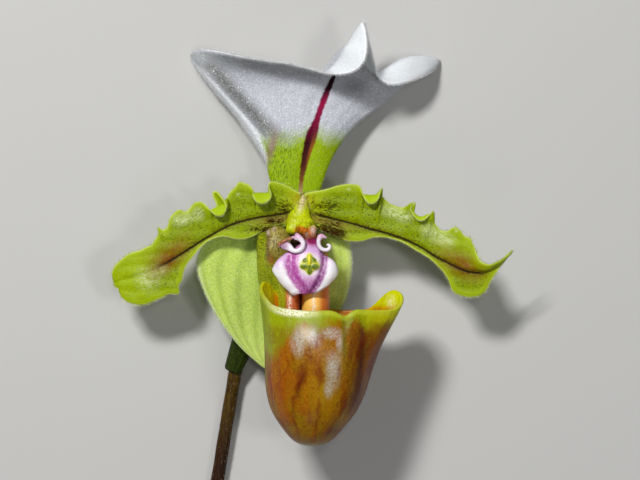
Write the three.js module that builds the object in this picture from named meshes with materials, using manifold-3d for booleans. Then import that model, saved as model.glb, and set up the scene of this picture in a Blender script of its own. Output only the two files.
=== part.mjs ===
// A cut slipper orchid bloom (Paphiopedilum spicerianum), lying face up on a surface.
// Millimetres, +Z up. The flower faces +Z, its dorsal sepal points to +Y and its stem to -Y.

import * as THREE from 'three';
import { mergeVertices } from 'three/addons/utils/BufferGeometryUtils.js';
import Module from 'manifold-3d';

const wasm = await Module();
wasm.setup();

// ---- Driving dimensions -------------------------------------------------------------------

const FLOWER_CENTRE = [-1.4, 24.7, 9.6]; // where the petals meet; its height is that of the bloom's back
const SEPAL_THICKNESS = 0.8;
const PETAL_THICKNESS = 0.7;
const LIP_WALL = 0.9;
const LOBE_THICKNESS = 0.8;
const SHIELD_THICKNESS = 0.8;
const BRACT_THICKNESS = 0.6;
const STEM_RADIUS = 1.1;
const SECTION_STEPS = 12; // of the sum that lays out a petal from its midvein to its margin
const PETAL_CUP = 0.16; // radians that a petal's halves rise towards the viewer
const CURL_START = 0.42; // share of a petal's half-width at which its margin begins to curl
const MIDVEIN = 1 / 3; // share of the way across a petal, from its lower margin
const NARROWEST = 0.3; // half-width of a petal at its very tips

// Everything below is placed from the flower's centre: x to the flower's left side as the viewer
// sees it is negative, y is up along the dorsal sepal, z is towards the viewer.

// Dorsal sepal: rows from its base to its top margin, each from the left side margin, over the
// ridge and the wall of the hood, to the midvein (8th point) and on to the right side margin.
const DORSAL_NET = [
  [[-3.2, -0.3, -1.9], [-2.8, -0.4, -1.85], [-2.2, -0.5, -1.8], [-1.7, -0.7, -1.8], [-1.4, -0.8, -1.8],
    [-1.1, -0.8, -1.75], [-0.8, -0.8, -1.75], [-0.5, -0.8, -1.7], [-0.2, -0.8, -1.75], [0.4, -0.8, -1.75],
    [1.0, -0.8, -1.8], [1.7, -0.6, -1.85], [2.2, -0.4, -1.9]],
  [[-4.6, 5.0, -4.5], [-5.3, 4.8, -2.9], [-4.7, 4.8, -2.1], [-3.3, 4.6, -1.8], [-2.2, 4.5, -1.7],
    [-1.4, 4.5, -1.7], [-0.8, 4.5, -1.7], [-0.3, 4.5, -1.6], [0.4, 4.5, -1.6], [1.4, 4.5, -1.7],
    [2.6, 4.6, -2.0], [3.2, 4.8, -2.8], [2.4, 5.2, -4.4]],
  [[-7.7, 10.2, -5.1], [-6.5, 9.8, -3.2], [-5.6, 9.8, -3.4], [-3.8, 9.6, -2.9], [-2.1, 9.5, -2.5],
    [-1.0, 9.5, -2.4], [-0.1, 9.5, -2.4], [0.7, 9.5, -2.3], [1.8, 9.5, -2.3], [3.3, 9.6, -2.6],
    [4.6, 9.8, -3.3], [5.5, 10.0, -4.4], [4.3, 10.6, -6.0]],
  [[-11.4, 15.4, -6.0], [-8.2, 15.2, -3.9], [-6.8, 15.0, -4.8], [-4.0, 14.8, -4.5], [-1.5, 14.6, -4.1],
    [-0.1, 14.5, -3.8], [1.0, 14.5, -3.7], [2.2, 14.5, -3.5], [3.8, 14.5, -3.5], [5.9, 14.4, -3.8],
    [8.1, 14.6, -4.8], [9.7, 15.0, -6.2], [8.2, 15.8, -7.6]],
  [[-15.8, 20.6, -7.8], [-13.0, 20.4, -5.4], [-9.8, 19.8, -6.0], [-5.2, 19.8, -5.6], [-1.4, 19.6, -5.0],
    [1.0, 19.5, -4.7], [2.6, 19.6, -4.4], [4.0, 19.5, -4.1], [6.3, 19.2, -4.2], [9.2, 18.4, -4.8],
    [12.4, 18.4, -6.2], [15.0, 19.2, -7.8], [14.2, 20.2, -8.9]],
  [[-18.7, 24.9, -9.4], [-16.4, 25.0, -7.0], [-11.8, 24.4, -5.4], [-6.4, 24.0, -4.2], [-0.8, 23.4, -3.2],
    [3.4, 23.1, -1.6], [6.1, 25.8, 1.0], [6.9, 25.4, -1.8], [9.3, 24.0, -2.6], [12.1, 21.7, -3.2],
    [16.8, 24.2, -5.2], [20.9, 24.7, -8.0], [22.0, 24.3, -9.4]],
  [[-18.5, 26.2, -9.4], [-15.9, 26.5, -5.8], [-11.2, 25.5, -2.8], [-6.2, 24.4, -0.8], [-0.6, 23.4, 0.6],
    [5.6, 21.9, 2.6], [10.2, 24.6, 4.4], [9.9, 30.4, 1.2], [11.2, 25.8, 1.2], [13.2, 20.9, -0.4],
    [17.6, 21.1, -2.4], [21.4, 23.2, -6.2], [22.5, 24.0, -9.4]],
];

// Synsepal (the two fused lower sepals): rows from its base to its tip, each from left to right.
const SYNSEPAL_NET = [
  [[-2.9, -1.0, -2.85], [-2.1, -0.9, -2.9], [-1.3, -0.8, -2.9], [-0.5, -0.8, -2.9], [0.3, -0.8, -2.9],
    [1.1, -0.9, -2.9], [1.9, -1.1, -2.85]],
  [[-12.5, -3.0, -2.5], [-8.6, -3.9, -3.1], [-4.8, -4.6, -3.4], [-1.4, -5.0, -3.5], [1.6, -4.8, -3.4],
    [4.2, -4.2, -3.2], [6.4, -3.4, -2.9]],
  [[-17.2, -7.4, -1.6], [-12.6, -8.6, -2.6], [-7.4, -9.6, -3.4], [-2.6, -10.0, -3.6], [1.6, -9.8, -3.5],
    [5.2, -9.0, -3.4], [8.0, -7.8, -3.2]],
  [[-17.0, -12.0, -1.4], [-13.0, -13.6, -2.5], [-8.2, -14.8, -3.4], [-3.6, -15.4, -3.6], [0.8, -15.2, -3.6],
    [4.6, -14.4, -3.5], [7.7, -12.8, -3.3]],
  [[-14.9, -16.8, -1.6], [-11.9, -18.6, -2.7], [-8.4, -19.9, -3.4], [-4.6, -20.6, -3.6], [-0.8, -20.4, -3.6],
    [2.8, -19.4, -3.5], [6.0, -17.4, -3.4]],
  [[-11.2, -22.0, -2.4], [-9.4, -23.4, -3.0], [-7.4, -24.4, -3.4], [-5.2, -25.0, -3.6], [-2.8, -24.8, -3.6],
    [-0.4, -24.0, -3.6], [2.0, -22.4, -3.5]],
  [[-6.4, -26.3, -3.2], [-6.0, -26.7, -3.3], [-5.6, -27.0, -3.4], [-5.2, -27.1, -3.4], [-4.8, -27.0, -3.4],
    [-4.4, -26.7, -3.4], [-4.0, -26.2, -3.4]],
];

// Petals: stations along the midvein as [x, y, z, upper half-width, lower half-width, degrees that
// the upper margin curls towards the viewer, degrees that the lower margin does].
const LEFT_PETAL = [
  [-1.0, -0.5, -0.7, 3.2, 2.2, 0, 0], [-2.6, -0.8, -0.6, 4.5, 2.3, 0, 0],
  [-4.1, -1.0, -0.5, 5.1, 2.3, 0, 0], [-5.1, -1.2, -0.5, 5.3, 2.2, 20, 0],
  [-6.0, -1.3, -0.4, 5.4, 2.2, 180, 0], [-7.1, -1.5, -0.3, 5.6, 2.1, 180, 0],
  [-8.1, -1.7, -0.2, 6.1, 2.3, 0, 10], [-9.3, -2.0, -0.1, 6.0, 2.5, -10, 20],
  [-10.6, -2.4, 0.0, 5.7, 2.6, 5, 20], [-11.7, -2.7, 0.2, 5.9, 2.4, 60, 0],
  [-12.5, -3.0, 0.3, 6.0, 1.5, 180, 0], [-13.4, -3.5, 0.4, 6.0, 1.0, 150, 0],
  [-14.5, -4.1, 0.6, 5.9, 0.9, -5, 0], [-15.9, -4.9, 0.7, 5.9, 0.9, 25, 0],
  [-17.2, -5.7, 0.9, 6.3, 1.1, -5, 0], [-18.7, -6.7, 1.0, 6.0, 1.4, 30, 0],
  [-20.2, -7.7, 1.1, 5.6, 2.1, 40, 0], [-21.2, -8.3, 1.1, 5.9, 3.0, -15, 0],
  [-22.2, -8.9, 1.1, 4.9, 4.3, 40, 10], [-23.4, -9.5, 1.0, 3.7, 5.2, 0, 0],
  [-25.2, -10.6, 0.8, 3.8, 4.9, 0, 0], [-27.2, -11.2, 0.5, 3.8, 5.1, 0, -10],
  [-29.2, -11.7, 0.1, 3.1, 4.3, 0, -20], [-30.6, -12.0, -0.3, 2.0, 2.7, 0, -20],
  [-31.4, -12.1, -0.6, 0.5, 0.6, 0, 0],
];
const RIGHT_PETAL = [
  [0.6, -0.6, -0.7, 2.9, 2.2, 0, 0], [2.3, -1.1, -0.6, 3.8, 2.4, 0, 0],
  [4.1, -1.5, -0.5, 5.1, 2.7, 0, 0], [5.9, -2.0, -0.4, 6.1, 2.8, 0, 0],
  [7.5, -2.4, -0.2, 6.4, 2.9, 0, 20], [8.7, -2.8, -0.1, 6.4, 2.7, 20, 20],
  [9.6, -3.1, 0.1, 6.5, 2.4, 170, 10], [10.5, -3.4, 0.2, 6.7, 2.0, 170, 0],
  [11.3, -3.7, 0.3, 6.9, 1.5, 0, 0], [12.9, -4.1, 0.5, 5.4, 0.8, 15, 0],
  [14.5, -4.6, 0.7, 5.3, 0.7, 10, 0], [15.8, -5.1, 0.8, 6.1, 0.75, 0, 0],
  [16.7, -5.5, 0.8, 6.4, 0.8, 130, 0], [17.7, -5.9, 0.9, 6.4, 0.8, 130, 0],
  [18.6, -6.4, 1.0, 6.4, 0.8, 5, 0], [20.0, -7.1, 1.1, 5.0, 0.85, 15, 0],
  [21.2, -7.7, 1.3, 5.2, 0.9, 20, 0], [22.5, -8.4, 1.4, 6.0, 1.1, -5, 0],
  [24.0, -9.1, 1.5, 5.3, 1.7, 20, 0], [25.2, -9.7, 1.6, 5.2, 2.6, 0, 0],
  [26.7, -10.3, 1.7, 3.9, 3.8, 30, 0], [28.2, -10.6, 1.9, 2.7, 4.1, 60, 0],
  [29.9, -10.6, 2.2, 1.8, 2.9, 60, 0], [31.7, -9.8, 2.7, 1.2, 1.0, 40, 0],
  [33.2, -8.4, 3.3, 0.7, 0.5, 0, 0], [34.0, -7.4, 3.6, 0.35, 0.35, 0, 0],
];

// Pouch of the lip: rings from its toe to its rim as [share of the way up, y, left, right, back, front].
const POUCH_RINGS = [
  [0, -38.9, 1.4, 1.4, 6.6, 6.6], [0.12, -38.2, -1.1, 4.1, 3.6, 9.6], [0.25, -36.2, -3.1, 6.3, 1.4, 12.0],
  [0.4, -33.0, -5.1, 8.8, -0.3, 13.8], [0.58, -28.2, -6.1, 10.8, -1.2, 14.8],
  [0.76, -23.0, -6.2, 12.5, -1.5, 14.8], [0.9, -19.3, -6.6, 14.2, -1.6, 13.8],
  [1, -17.0, -6.9, 15.3, -1.6, 12.8],
];
// Rim of the pouch as [degrees round it, rise above the top ring, flare outwards]: 0 is the right
// side, 90 the front and 180 the left. The two peaks are the lip's ears.
const POUCH_RIM = [
  [-90, 0, 0], [-65, -0.2, 0], [-50, 0.2, 0], [-38, 1.6, 0], [-25, 2.8, 0], [-12, 3.1, 0.3],
  [3, 2.8, 1.1], [14, 2.3, 1.1], [24, 1.5, 0.8], [35, 0.6, 0.4], [45, 0.1, 0.2], [60, 0.2, 0],
  [78, -0.7, -0.5], [92, -0.2, 0], [115, 0.1, 0], [135, 0.5, 0], [150, 1.2, 0], [163, 2.2, 0],
  [175, 3.2, 0.2], [187, 4.4, 0.2], [197, 4.6, 0], [208, 3.9, 0], [220, 2.4, 0], [232, 1.0, 0],
  [250, 0, 0], [270, 0, 0],
];
const RIM_RISE_START = 0.6; // share of the way up the pouch at which its rim begins to rise and flare

// Side lobes of the lip, folded in over the claw: rows from the claw down into the pouch as
// [y, then x, z of each point], from the left lobe's inner edge round the back to the right one's.
const LOBE_NET = [
  [-4.2, [-4.6, -0.1], [-5.0, 0.1], [-5.6, 0.1], [-6.3, 0.0], [-6.9, -0.5], [-5.8, -1.2], [-1.8, -1.5],
    [2.0, -1.5], [3.2, -1.4], [3.3, -1.2], [3.0, -1.0], [2.5, -0.9], [2.0, -0.9]],
  [-7.2, [-3.6, 0.3], [-4.2, 1.0], [-5.0, 1.5], [-6.0, 1.7], [-7.1, 0.9], [-6.3, -1.1], [-1.8, -1.7],
    [2.6, -1.1], [3.7, 0.2], [3.6, 1.3], [2.9, 1.9], [2.0, 1.8], [1.3, 1.2]],
  [-10.8, [-1.6, 0.6], [-2.4, 1.8], [-3.8, 1.6], [-5.4, 2.3], [-7.1, 1.5], [-6.5, -1.1], [-1.8, -1.8],
    [2.8, -1.1], [3.9, 0.8], [3.7, 2.3], [2.5, 3.1], [0.9, 3.0], [0.2, 1.6]],
  [-14.4, [-0.8, 1.4], [-1.6, 3.2], [-3.0, 2.2], [-5.0, 2.6], [-7.0, 1.7], [-6.6, -1.1], [-1.8, -1.8],
    [2.9, -1.1], [4.0, 1.2], [3.8, 3.0], [2.6, 4.1], [0.8, 3.9], [0.0, 1.9]],
  [-18.4, [-0.8, 1.2], [-1.6, 3.0], [-3.0, 2.0], [-4.8, 2.2], [-6.3, 1.4], [-5.9, -0.7], [-1.6, -1.3],
    [2.9, -1.0], [4.0, 0.9], [3.8, 2.8], [2.6, 3.9], [0.8, 3.7], [0.0, 1.7]],
  [-22.5, [-0.8, -0.1], [-1.6, 1.2], [-2.8, 0.4], [-4.0, 0.3], [-4.9, 0.1], [-4.4, -0.8], [-1.4, -1.0],
    [2.4, -0.9], [3.4, 0.0], [3.2, 1.1], [2.4, 1.8], [0.9, 1.6], [0.1, 0.5]],
];

// Staminode, the shield in front of the column: rows from its neck to its lower edge.
const SHIELD_NET = [
  [[0.3, -4.9, 5.6], [0.7, -4.7, 5.7], [1.1, -4.5, 5.7], [1.5, -4.5, 5.7], [1.8, -4.6, 5.7],
    [2.1, -4.7, 5.7], [2.4, -5.0, 5.6]],
  [[-2.2, -7.0, 5.7], [-1.0, -6.6, 6.1], [0.1, -6.4, 6.3], [1.3, -6.3, 6.35], [2.3, -6.4, 6.3],
    [3.3, -6.7, 6.1], [4.2, -7.3, 5.7]],
  [[-4.2, -8.9, 5.4], [-2.5, -8.5, 6.2], [-0.7, -8.3, 6.6], [1.1, -8.2, 6.8], [2.8, -8.3, 6.6],
    [4.1, -8.6, 6.1], [5.3, -9.1, 5.5]],
  [[-5.0, -10.2, 5.2], [-2.9, -10.3, 6.0], [-0.9, -10.4, 6.5], [1.0, -10.4, 6.7], [2.8, -10.3, 6.4],
    [4.5, -10.3, 5.9], [5.8, -10.3, 5.2]],
  [[-3.6, -12.0, 5.3], [-2.2, -12.3, 5.8], [-0.7, -12.5, 6.1], [0.8, -12.6, 6.3], [2.2, -12.5, 6.1],
    [3.4, -12.2, 5.8], [4.5, -11.8, 5.3]],
  [[-1.8, -13.9, 5.4], [-1.1, -14.2, 5.5], [-0.3, -14.35, 5.6], [0.5, -14.35, 5.7], [1.4, -14.0, 5.6],
    [2.2, -13.8, 5.5], [2.9, -13.4, 5.4]],
];
const EAR_RADIUS = 1.3; // outside of each curled horn of the shield
const EAR_HOLE_RADIUS = 0.62;
const EAR_DEPTH = 1.7;
const EARS = [ // centre, and the degrees between which the curl runs
  { x: -1.0, y: -6.1, z: 5.8, from: -170, to: 125 },
  { x: 3.5, y: -6.1, z: 5.8, from: 60, to: 345 },
];
const BOSS = { centre: [1.1, -9.1, 6.9], radii: [1.6, 1.85, 0.55] };

// Column: the hairy nose, the body behind the shield, the stigma under it and the two anthers.
const COLUMN_PARTS = [
  { centre: [-0.45, 0.0, 1.35], radii: [1.5, 3.1, 1.25], tilt: -0.35 },
  { centre: [0.3, -3.4, 2.9], radii: [1.7, 2.2, 1.9], tilt: -0.6 },
  { centre: [0.9, -5.4, 3.6], radii: [1.5, 1.9, 1.4], tilt: -0.5 },
  { centre: [0.9, -7.7, 4.1], radii: [2.0, 2.1, 0.75], tilt: 0 },
  { centre: [-1.5, -5.0, 3.2], radii: [1.2, 1.0, 1.0], tilt: 0 },
  { centre: [3.1, -5.0, 3.2], radii: [1.2, 1.0, 1.0], tilt: 0 },
];

// Ovary, from the receptacle that holds the bloom down to the node: [x, y, z, radius].
const OVARY = [
  [-0.7, -1.6, -5.0, 1.3], [-1.7, -4.6, -5.9, 1.45], [-4.1, -10.2, -6.5, 1.75], [-6.6, -15.8, -6.9, 1.8],
  [-9.1, -21.2, -7.3, 1.5], [-11.1, -26.0, -7.7, 0.95],
];
const RECEPTACLE = { centre: [-0.5, -0.6, -4.7], radii: [2.6, 2.6, 1.2], tilt: 0 };
const OVARY_RIBS = 6;
const OVARY_RIB_HEIGHT = 0.06; // share of the radius

const STEM = [[-11.24, -26.3, -7.72], [-14.4, -45.6, -8.2], [-16.6, -62.0, -8.5], [-17.4, -80.0, -8.75]];

// Bract, a sheath on the ovary's outer side: its reach is a share of the ovary's length, and its
// middle and half-width are angles round the ovary, the latter narrowing by its taper to the tip.
const BRACT = { reach: 0.42, middle: 2.1, halfAngle: 1.45, taper: 0.97, clear: 0.35, flare: 0.1 };

// ---- Curves and surfaces ------------------------------------------------------------------

// Natural cubic spline through values at rising knots; returns a function of the knots' variable.
function spline(knots, values) {
  const n = knots.length - 1;
  const bend = new Array(n + 1).fill(0);
  const pivot = new Array(n + 1).fill(0);
  for (let i = 1; i < n; i++) {
    const before = knots[i] - knots[i - 1];
    const after = knots[i + 1] - knots[i];
    const share = before / (before + after);
    const p = share * pivot[i - 1] + 2;
    const slopes = (values[i + 1] - values[i]) / after - (values[i] - values[i - 1]) / before;
    pivot[i] = (share - 1) / p;
    bend[i] = ((6 * slopes) / (before + after) - share * bend[i - 1]) / p;
  }
  for (let i = n - 1; i >= 0; i--) bend[i] = pivot[i] * bend[i + 1] + bend[i];
  return (t) => {
    let i = 0;
    while (i < n - 1 && t > knots[i + 1]) i++;
    const h = knots[i + 1] - knots[i];
    const a = (knots[i + 1] - t) / h;
    const b = (t - knots[i]) / h;
    const cubic = ((a ** 3 - a) * bend[i] + (b ** 3 - b) * bend[i + 1]) * h * h / 6;
    return a * values[i] + b * values[i + 1] + cubic;
  };
}

const evenly = (count) => Array.from({ length: count }, (_, i) => i / (count - 1));

// Splines through each column of a table whose rows are spaced evenly from 0 to 1.
function tracks(table) {
  const knots = evenly(table.length);
  return table[0].map((_, column) => spline(knots, table.map((row) => row[column])));
}

// Smooth surface through a net of points; u runs along a row and v from the first row to the last.
function netSurface(net) {
  const rows = net.map(tracks);
  const knots = evenly(net.length);
  return (u, v) => {
    const points = rows.map((row) => row.map((track) => track(u)));
    return new THREE.Vector3(...[0, 1, 2].map((axis) => spline(knots, points.map((p) => p[axis]))(v)));
  };
}

const smoothstep = (from, to, t) => THREE.MathUtils.smoothstep(t, from, to);

// Closed body between two faces on one (u, v) grid, split into triangles alike. A round body has
// its two u ends joined and one point at v = 0, so that only its v = 1 border has an edge face.
function bodyBetween(front, back, nu, nv, round = false) {
  const points = [];
  for (const face of [front, back]) {
    for (let j = 0; j <= nv; j++) {
      for (let i = 0; i <= nu; i++) points.push(...face(round && i === nu ? 0 : i / nu, j / nv).toArray());
    }
  }
  const at = (i, j, face) => face * (nu + 1) * (nv + 1) + j * (nu + 1) + i;
  const faces = [];
  const quad = (a, b, c, d) => faces.push([a, b, c], [a, c, d]);
  for (let j = 0; j < nv; j++) {
    for (let i = 0; i < nu; i++) {
      const [a, b, c, d] = [at(i, j, 0), at(i + 1, j, 0), at(i + 1, j + 1, 0), at(i, j + 1, 0)];
      quad(a, b, c, d);
      const [e, f, g, h] = [at(i, j, 1), at(i + 1, j, 1), at(i + 1, j + 1, 1), at(i, j + 1, 1)];
      faces.push([e, g, f], [e, h, g]);
    }
  }
  for (let i = 0; i < nu; i++) {
    quad(at(i, nv, 0), at(i + 1, nv, 0), at(i + 1, nv, 1), at(i, nv, 1));
    if (!round) quad(at(i + 1, 0, 0), at(i, 0, 0), at(i, 0, 1), at(i + 1, 0, 1));
  }
  for (let j = 0; j < nv && !round; j++) {
    quad(at(0, j, 0), at(0, j + 1, 0), at(0, j + 1, 1), at(0, j, 1));
    quad(at(nu, j + 1, 0), at(nu, j, 0), at(nu, j, 1), at(nu, j + 1, 1));
  }
  const geometry = new THREE.BufferGeometry();
  geometry.setAttribute('position', new THREE.Float32BufferAttribute(points, 3));
  geometry.setIndex(faces.flat());
  return withoutSlivers(mergeVertices(geometry, 1e-4));
}

function withoutSlivers(geometry) {
  const index = geometry.index.array;
  const kept = [];
  for (let i = 0; i < index.length; i += 3) {
    const [a, b, c] = [index[i], index[i + 1], index[i + 2]];
    if (a !== b && b !== c && a !== c) kept.push(a, b, c);
  }
  geometry.setIndex(kept);
  return geometry;
}

// Blade of even thickness about a surface.
function blade(surface, nu, nv, thickness) {
  const step = 1e-3;
  const face = (side) => (u, v) => {
    const along = surface(Math.min(u + step, 1), v).sub(surface(Math.max(u - step, 0), v));
    const across = surface(u, Math.min(v + step, 1)).sub(surface(u, Math.max(v - step, 0)));
    const normal = along.cross(across).normalize();
    return surface(u, v).addScaledVector(normal, (side * thickness) / 2);
  };
  return bodyBetween(face(1), face(-1), nu, nv);
}

// ---- Joining and cutting ------------------------------------------------------------------

function toSolid(geometry) {
  const bare = geometry.clone();
  bare.deleteAttribute('normal');
  bare.deleteAttribute('uv');
  const merged = withoutSlivers(mergeVertices(bare, 1e-4));
  const vertProperties = new Float32Array(merged.attributes.position.array);
  const triVerts = new Uint32Array(merged.index.array);
  return new wasm.Manifold(new wasm.Mesh({ numProp: 3, vertProperties, triVerts }));
}

function toGeometry(solid) {
  const mesh = solid.getMesh();
  const geometry = new THREE.BufferGeometry();
  geometry.setAttribute('position', new THREE.Float32BufferAttribute(mesh.vertProperties, 3));
  geometry.setIndex(Array.from(mesh.triVerts));
  return geometry;
}

const join = (geometries) => toGeometry(geometries.map(toSolid).reduce((a, b) => a.add(b)));

// The flat spots on which the bloom rests: whatever lies under the resting plane is taken off.
function restingOnFloor(geometry) {
  const depth = 10;
  const under = new THREE.BoxGeometry(200, 200, depth);
  under.translate(0, 0, -FLOWER_CENTRE[2] - depth / 2);
  return toGeometry(toSolid(geometry).subtract(toSolid(under)));
}

function ellipsoid({ centre, radii, tilt = 0 }) {
  const [sides, rings] = [14, 8];
  const geometry = new THREE.SphereGeometry(1, sides, rings);
  geometry.scale(...radii);
  geometry.rotateX(tilt);
  geometry.translate(...centre);
  return geometry;
}

// ---- Pieces -------------------------------------------------------------------------------

const dorsalSepal = () => restingOnFloor(blade(netSurface(DORSAL_NET), 36, 12, SEPAL_THICKNESS));

const synsepal = () => blade(netSurface(SYNSEPAL_NET), 14, 12, SEPAL_THICKNESS);

// A petal's surface: v runs from 0 at the lower margin over the midvein to 1 at the upper margin.
function petalSurface(stations, side) {
  const [x, y, z, upper, lower, upperCurl, lowerCurl] = tracks(stations);
  const middle = (u) => new THREE.Vector3(x(u), y(u), z(u));
  const towards = new THREE.Vector3(0, 0, 1);
  return (u, v) => {
    const step = 1e-3;
    const tangent = middle(Math.min(u + step, 1)).sub(middle(Math.max(u - step, 0))).normalize();
    const up = towards.clone().cross(tangent).multiplyScalar(side).normalize();
    const out = tangent.clone().cross(up).multiplyScalar(side);
    const isUpper = v > MIDVEIN;
    const reach = isUpper ? (v - MIDVEIN) / (1 - MIDVEIN) : (MIDVEIN - v) / MIDVEIN;
    const width = Math.max(isUpper ? upper(u) : lower(u), NARROWEST);
    const curl = THREE.MathUtils.degToRad(isUpper ? upperCurl(u) : lowerCurl(u));
    const point = middle(u);
    for (let k = 0; k < SECTION_STEPS; k++) {
      const share = ((k + 0.5) / SECTION_STEPS) * reach;
      const angle = PETAL_CUP + curl * smoothstep(CURL_START, 1, share);
      const length = (width * reach) / SECTION_STEPS;
      point.addScaledVector(up, (isUpper ? 1 : -1) * length * Math.cos(angle));
      point.addScaledVector(out, length * Math.sin(angle));
    }
    return point;
  };
}

function petal(stations, side) {
  const surface = petalSurface(stations, side);
  const facing = side > 0 ? surface : (u, v) => surface(u, 1 - v);
  return blade(facing, 52, 9, PETAL_THICKNESS);
}

// A point of the pouch: u runs once round it, v from the toe to the rim, inset is the wall's share.
function pouchSurface(inset) {
  const ringKnots = POUCH_RINGS.map((ring) => ring[0]);
  const ring = [1, 2, 3, 4, 5].map((k) => spline(ringKnots, POUCH_RINGS.map((r) => r[k])));
  const rimKnots = POUCH_RIM.map((r) => r[0]);
  const [rise, flare] = [1, 2].map((k) => spline(rimKnots, POUCH_RIM.map((r) => r[k])));
  return (u, v) => {
    const degrees = 270 - 360 * u;
    const angle = THREE.MathUtils.degToRad(degrees);
    const [y, left, right, back, front] = ring.map((track) => track(v));
    const lift = smoothstep(RIM_RISE_START, 1, v);
    const thin = Math.min(inset, (right - left) / 2);
    const wide = (right - left) / 2 - thin + flare(degrees) * lift;
    const deep = Math.max((front - back) / 2 - inset, 0) + flare(degrees) * lift;
    return new THREE.Vector3(
      (left + right) / 2 + wide * Math.cos(angle),
      y + rise(degrees) * lift + inset * (1 - v) ** 2,
      (back + front) / 2 + deep * Math.sin(angle),
    );
  };
}

const pouchCup = () => bodyBetween(pouchSurface(0), pouchSurface(LIP_WALL), 40, 11, true);

function sideLobes() {
  const net = LOBE_NET.map(([y, ...row]) => row.map(([x, z]) => [x, y, z]));
  return blade(netSurface(net), 28, 8, LOBE_THICKNESS);
}

const lip = () => join([pouchCup(), sideLobes()]);

function curledEar({ x, y, z, from, to }) {
  const [start, end] = [from, to].map(THREE.MathUtils.degToRad);
  const outline = new THREE.Shape();
  outline.absarc(0, 0, EAR_RADIUS, start, end, false);
  outline.absarc(0, 0, EAR_HOLE_RADIUS, end, start, true);
  const ear = new THREE.ExtrudeGeometry(outline, { depth: EAR_DEPTH, bevelEnabled: false, curveSegments: 8 });
  ear.translate(x, y, z);
  return ear;
}

const staminode = () => join([
  blade(netSurface(SHIELD_NET), 12, 8, SHIELD_THICKNESS),
  ...EARS.map(curledEar), ellipsoid(BOSS),
]);

const column = () => join(COLUMN_PARTS.map(ellipsoid));

// The ovary's middle line and radius at a share of the way down it.
function ovaryLine(share) {
  const [x, y, z, radius] = tracks(OVARY).map((track) => track(share));
  return { middle: new THREE.Vector3(x, y, z), radius };
}

// Directions across the ovary: to its side, and away from the surface that it lies on.
function acrossOvary(share) {
  const step = 1e-3;
  const ahead = ovaryLine(Math.min(share + step, 1)).middle;
  const along = ahead.sub(ovaryLine(Math.max(share - step, 0)).middle).normalize();
  const sideways = new THREE.Vector3(0, 0, 1).cross(along).normalize();
  return { sideways, upwards: along.clone().cross(sideways) };
}

function aroundOvary(share, angle, radius) {
  const { sideways, upwards } = acrossOvary(share);
  const point = ovaryLine(share).middle;
  point.addScaledVector(sideways, radius * Math.cos(angle));
  return point.addScaledVector(upwards, radius * Math.sin(angle));
}

function ovary() {
  const sides = 18;
  const steps = 12;
  const skin = (u, v) => {
    const angle = 2 * Math.PI * u;
    const ribbed = 1 + OVARY_RIB_HEIGHT * Math.cos(OVARY_RIBS * angle);
    return aroundOvary(v, angle, ovaryLine(v).radius * ribbed);
  };
  const core = (u, v) => ovaryLine(v).middle;
  return join([tube(skin, core, sides, steps), ellipsoid(RECEPTACLE)]);
}

// Closed tube inside a skin, with flat ends that meet at its middle line.
function tube(skin, core, sides, steps) {
  const lidded = (u, v) => {
    const inner = v * (steps + 2) - 1;
    if (inner < -0.5) return core(u, 0);
    if (inner > steps + 0.5) return core(u, 1);
    return skin(u === 1 ? 0 : u, inner / steps);
  };
  const points = [];
  for (let j = 0; j <= steps + 2; j++) {
    for (let i = 0; i < sides; i++) points.push(...lidded(i / sides, j / (steps + 2)).toArray());
  }
  const faces = [];
  for (let j = 0; j < steps + 2; j++) {
    for (let i = 0; i < sides; i++) {
      const next = (i + 1) % sides;
      const [a, b, c, d] = [j * sides + i, j * sides + next, (j + 1) * sides + next, (j + 1) * sides + i];
      faces.push([a, b, c], [a, c, d]);
    }
  }
  const geometry = new THREE.BufferGeometry();
  geometry.setAttribute('position', new THREE.Float32BufferAttribute(points, 3));
  geometry.setIndex(faces.flat());
  return withoutSlivers(mergeVertices(geometry, 1e-4));
}

function bract() {
  const surface = (u, v) => {
    const share = 1 - BRACT.reach * v;
    const spread = BRACT.halfAngle * Math.sqrt(1 - BRACT.taper * v * v);
    const angle = BRACT.middle + spread * (1 - 2 * u);
    const gap = BRACT.clear + BRACT_THICKNESS / 2 + BRACT.flare * v * v;
    return aroundOvary(share, angle, ovaryLine(share).radius * (1 + OVARY_RIB_HEIGHT) + gap);
  };
  return blade(surface, 10, 10, BRACT_THICKNESS);
}

function stem() {
  const section = new THREE.Shape();
  section.absarc(0, 0, STEM_RADIUS, 0, 2 * Math.PI, false);
  const extrudePath = new THREE.CatmullRomCurve3(STEM.map((point) => new THREE.Vector3(...point)));
  const rod = new THREE.ExtrudeGeometry(section, { steps: 22, curveSegments: 6, extrudePath });
  return restingOnFloor(rod);
}

// ---- Assembly -----------------------------------------------------------------------------

const matt = (color, roughness) => new THREE.MeshStandardMaterial({ color, roughness, metalness: 0 });

const bloom = new THREE.Group();
bloom.position.set(...FLOWER_CENTRE);

function place(name, geometry, material) {
  const mesh = new THREE.Mesh(geometry, material);
  mesh.name = name;
  bloom.add(mesh);
}

place('dorsal_sepal', dorsalSepal(), matt(0xf1f2ec, 0.7));
place('synsepal', synsepal(), matt(0xa9c46a, 0.65));
place('left_petal', petal(LEFT_PETAL, -1), matt(0x8fae1c, 0.4));
place('right_petal', petal(RIGHT_PETAL, 1), matt(0x8fae1c, 0.4));
place('lip', lip(), matt(0x96610f, 0.3));
place('staminode', staminode(), matt(0xdcb4dd, 0.45));
place('column', column(), matt(0xa3b424, 0.55));
place('ovary', ovary(), matt(0x5b6b2c, 0.7));
place('bract', bract(), matt(0x3b5a22, 0.6));
place('stem', stem(), matt(0x5a3b2e, 0.75));

const orchid = new THREE.Group();
orchid.add(bloom);

export default orchid;
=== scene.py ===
"""A cut slipper orchid bloom (Paphiopedilum spicerianum), lying face up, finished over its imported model."""

import math

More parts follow.
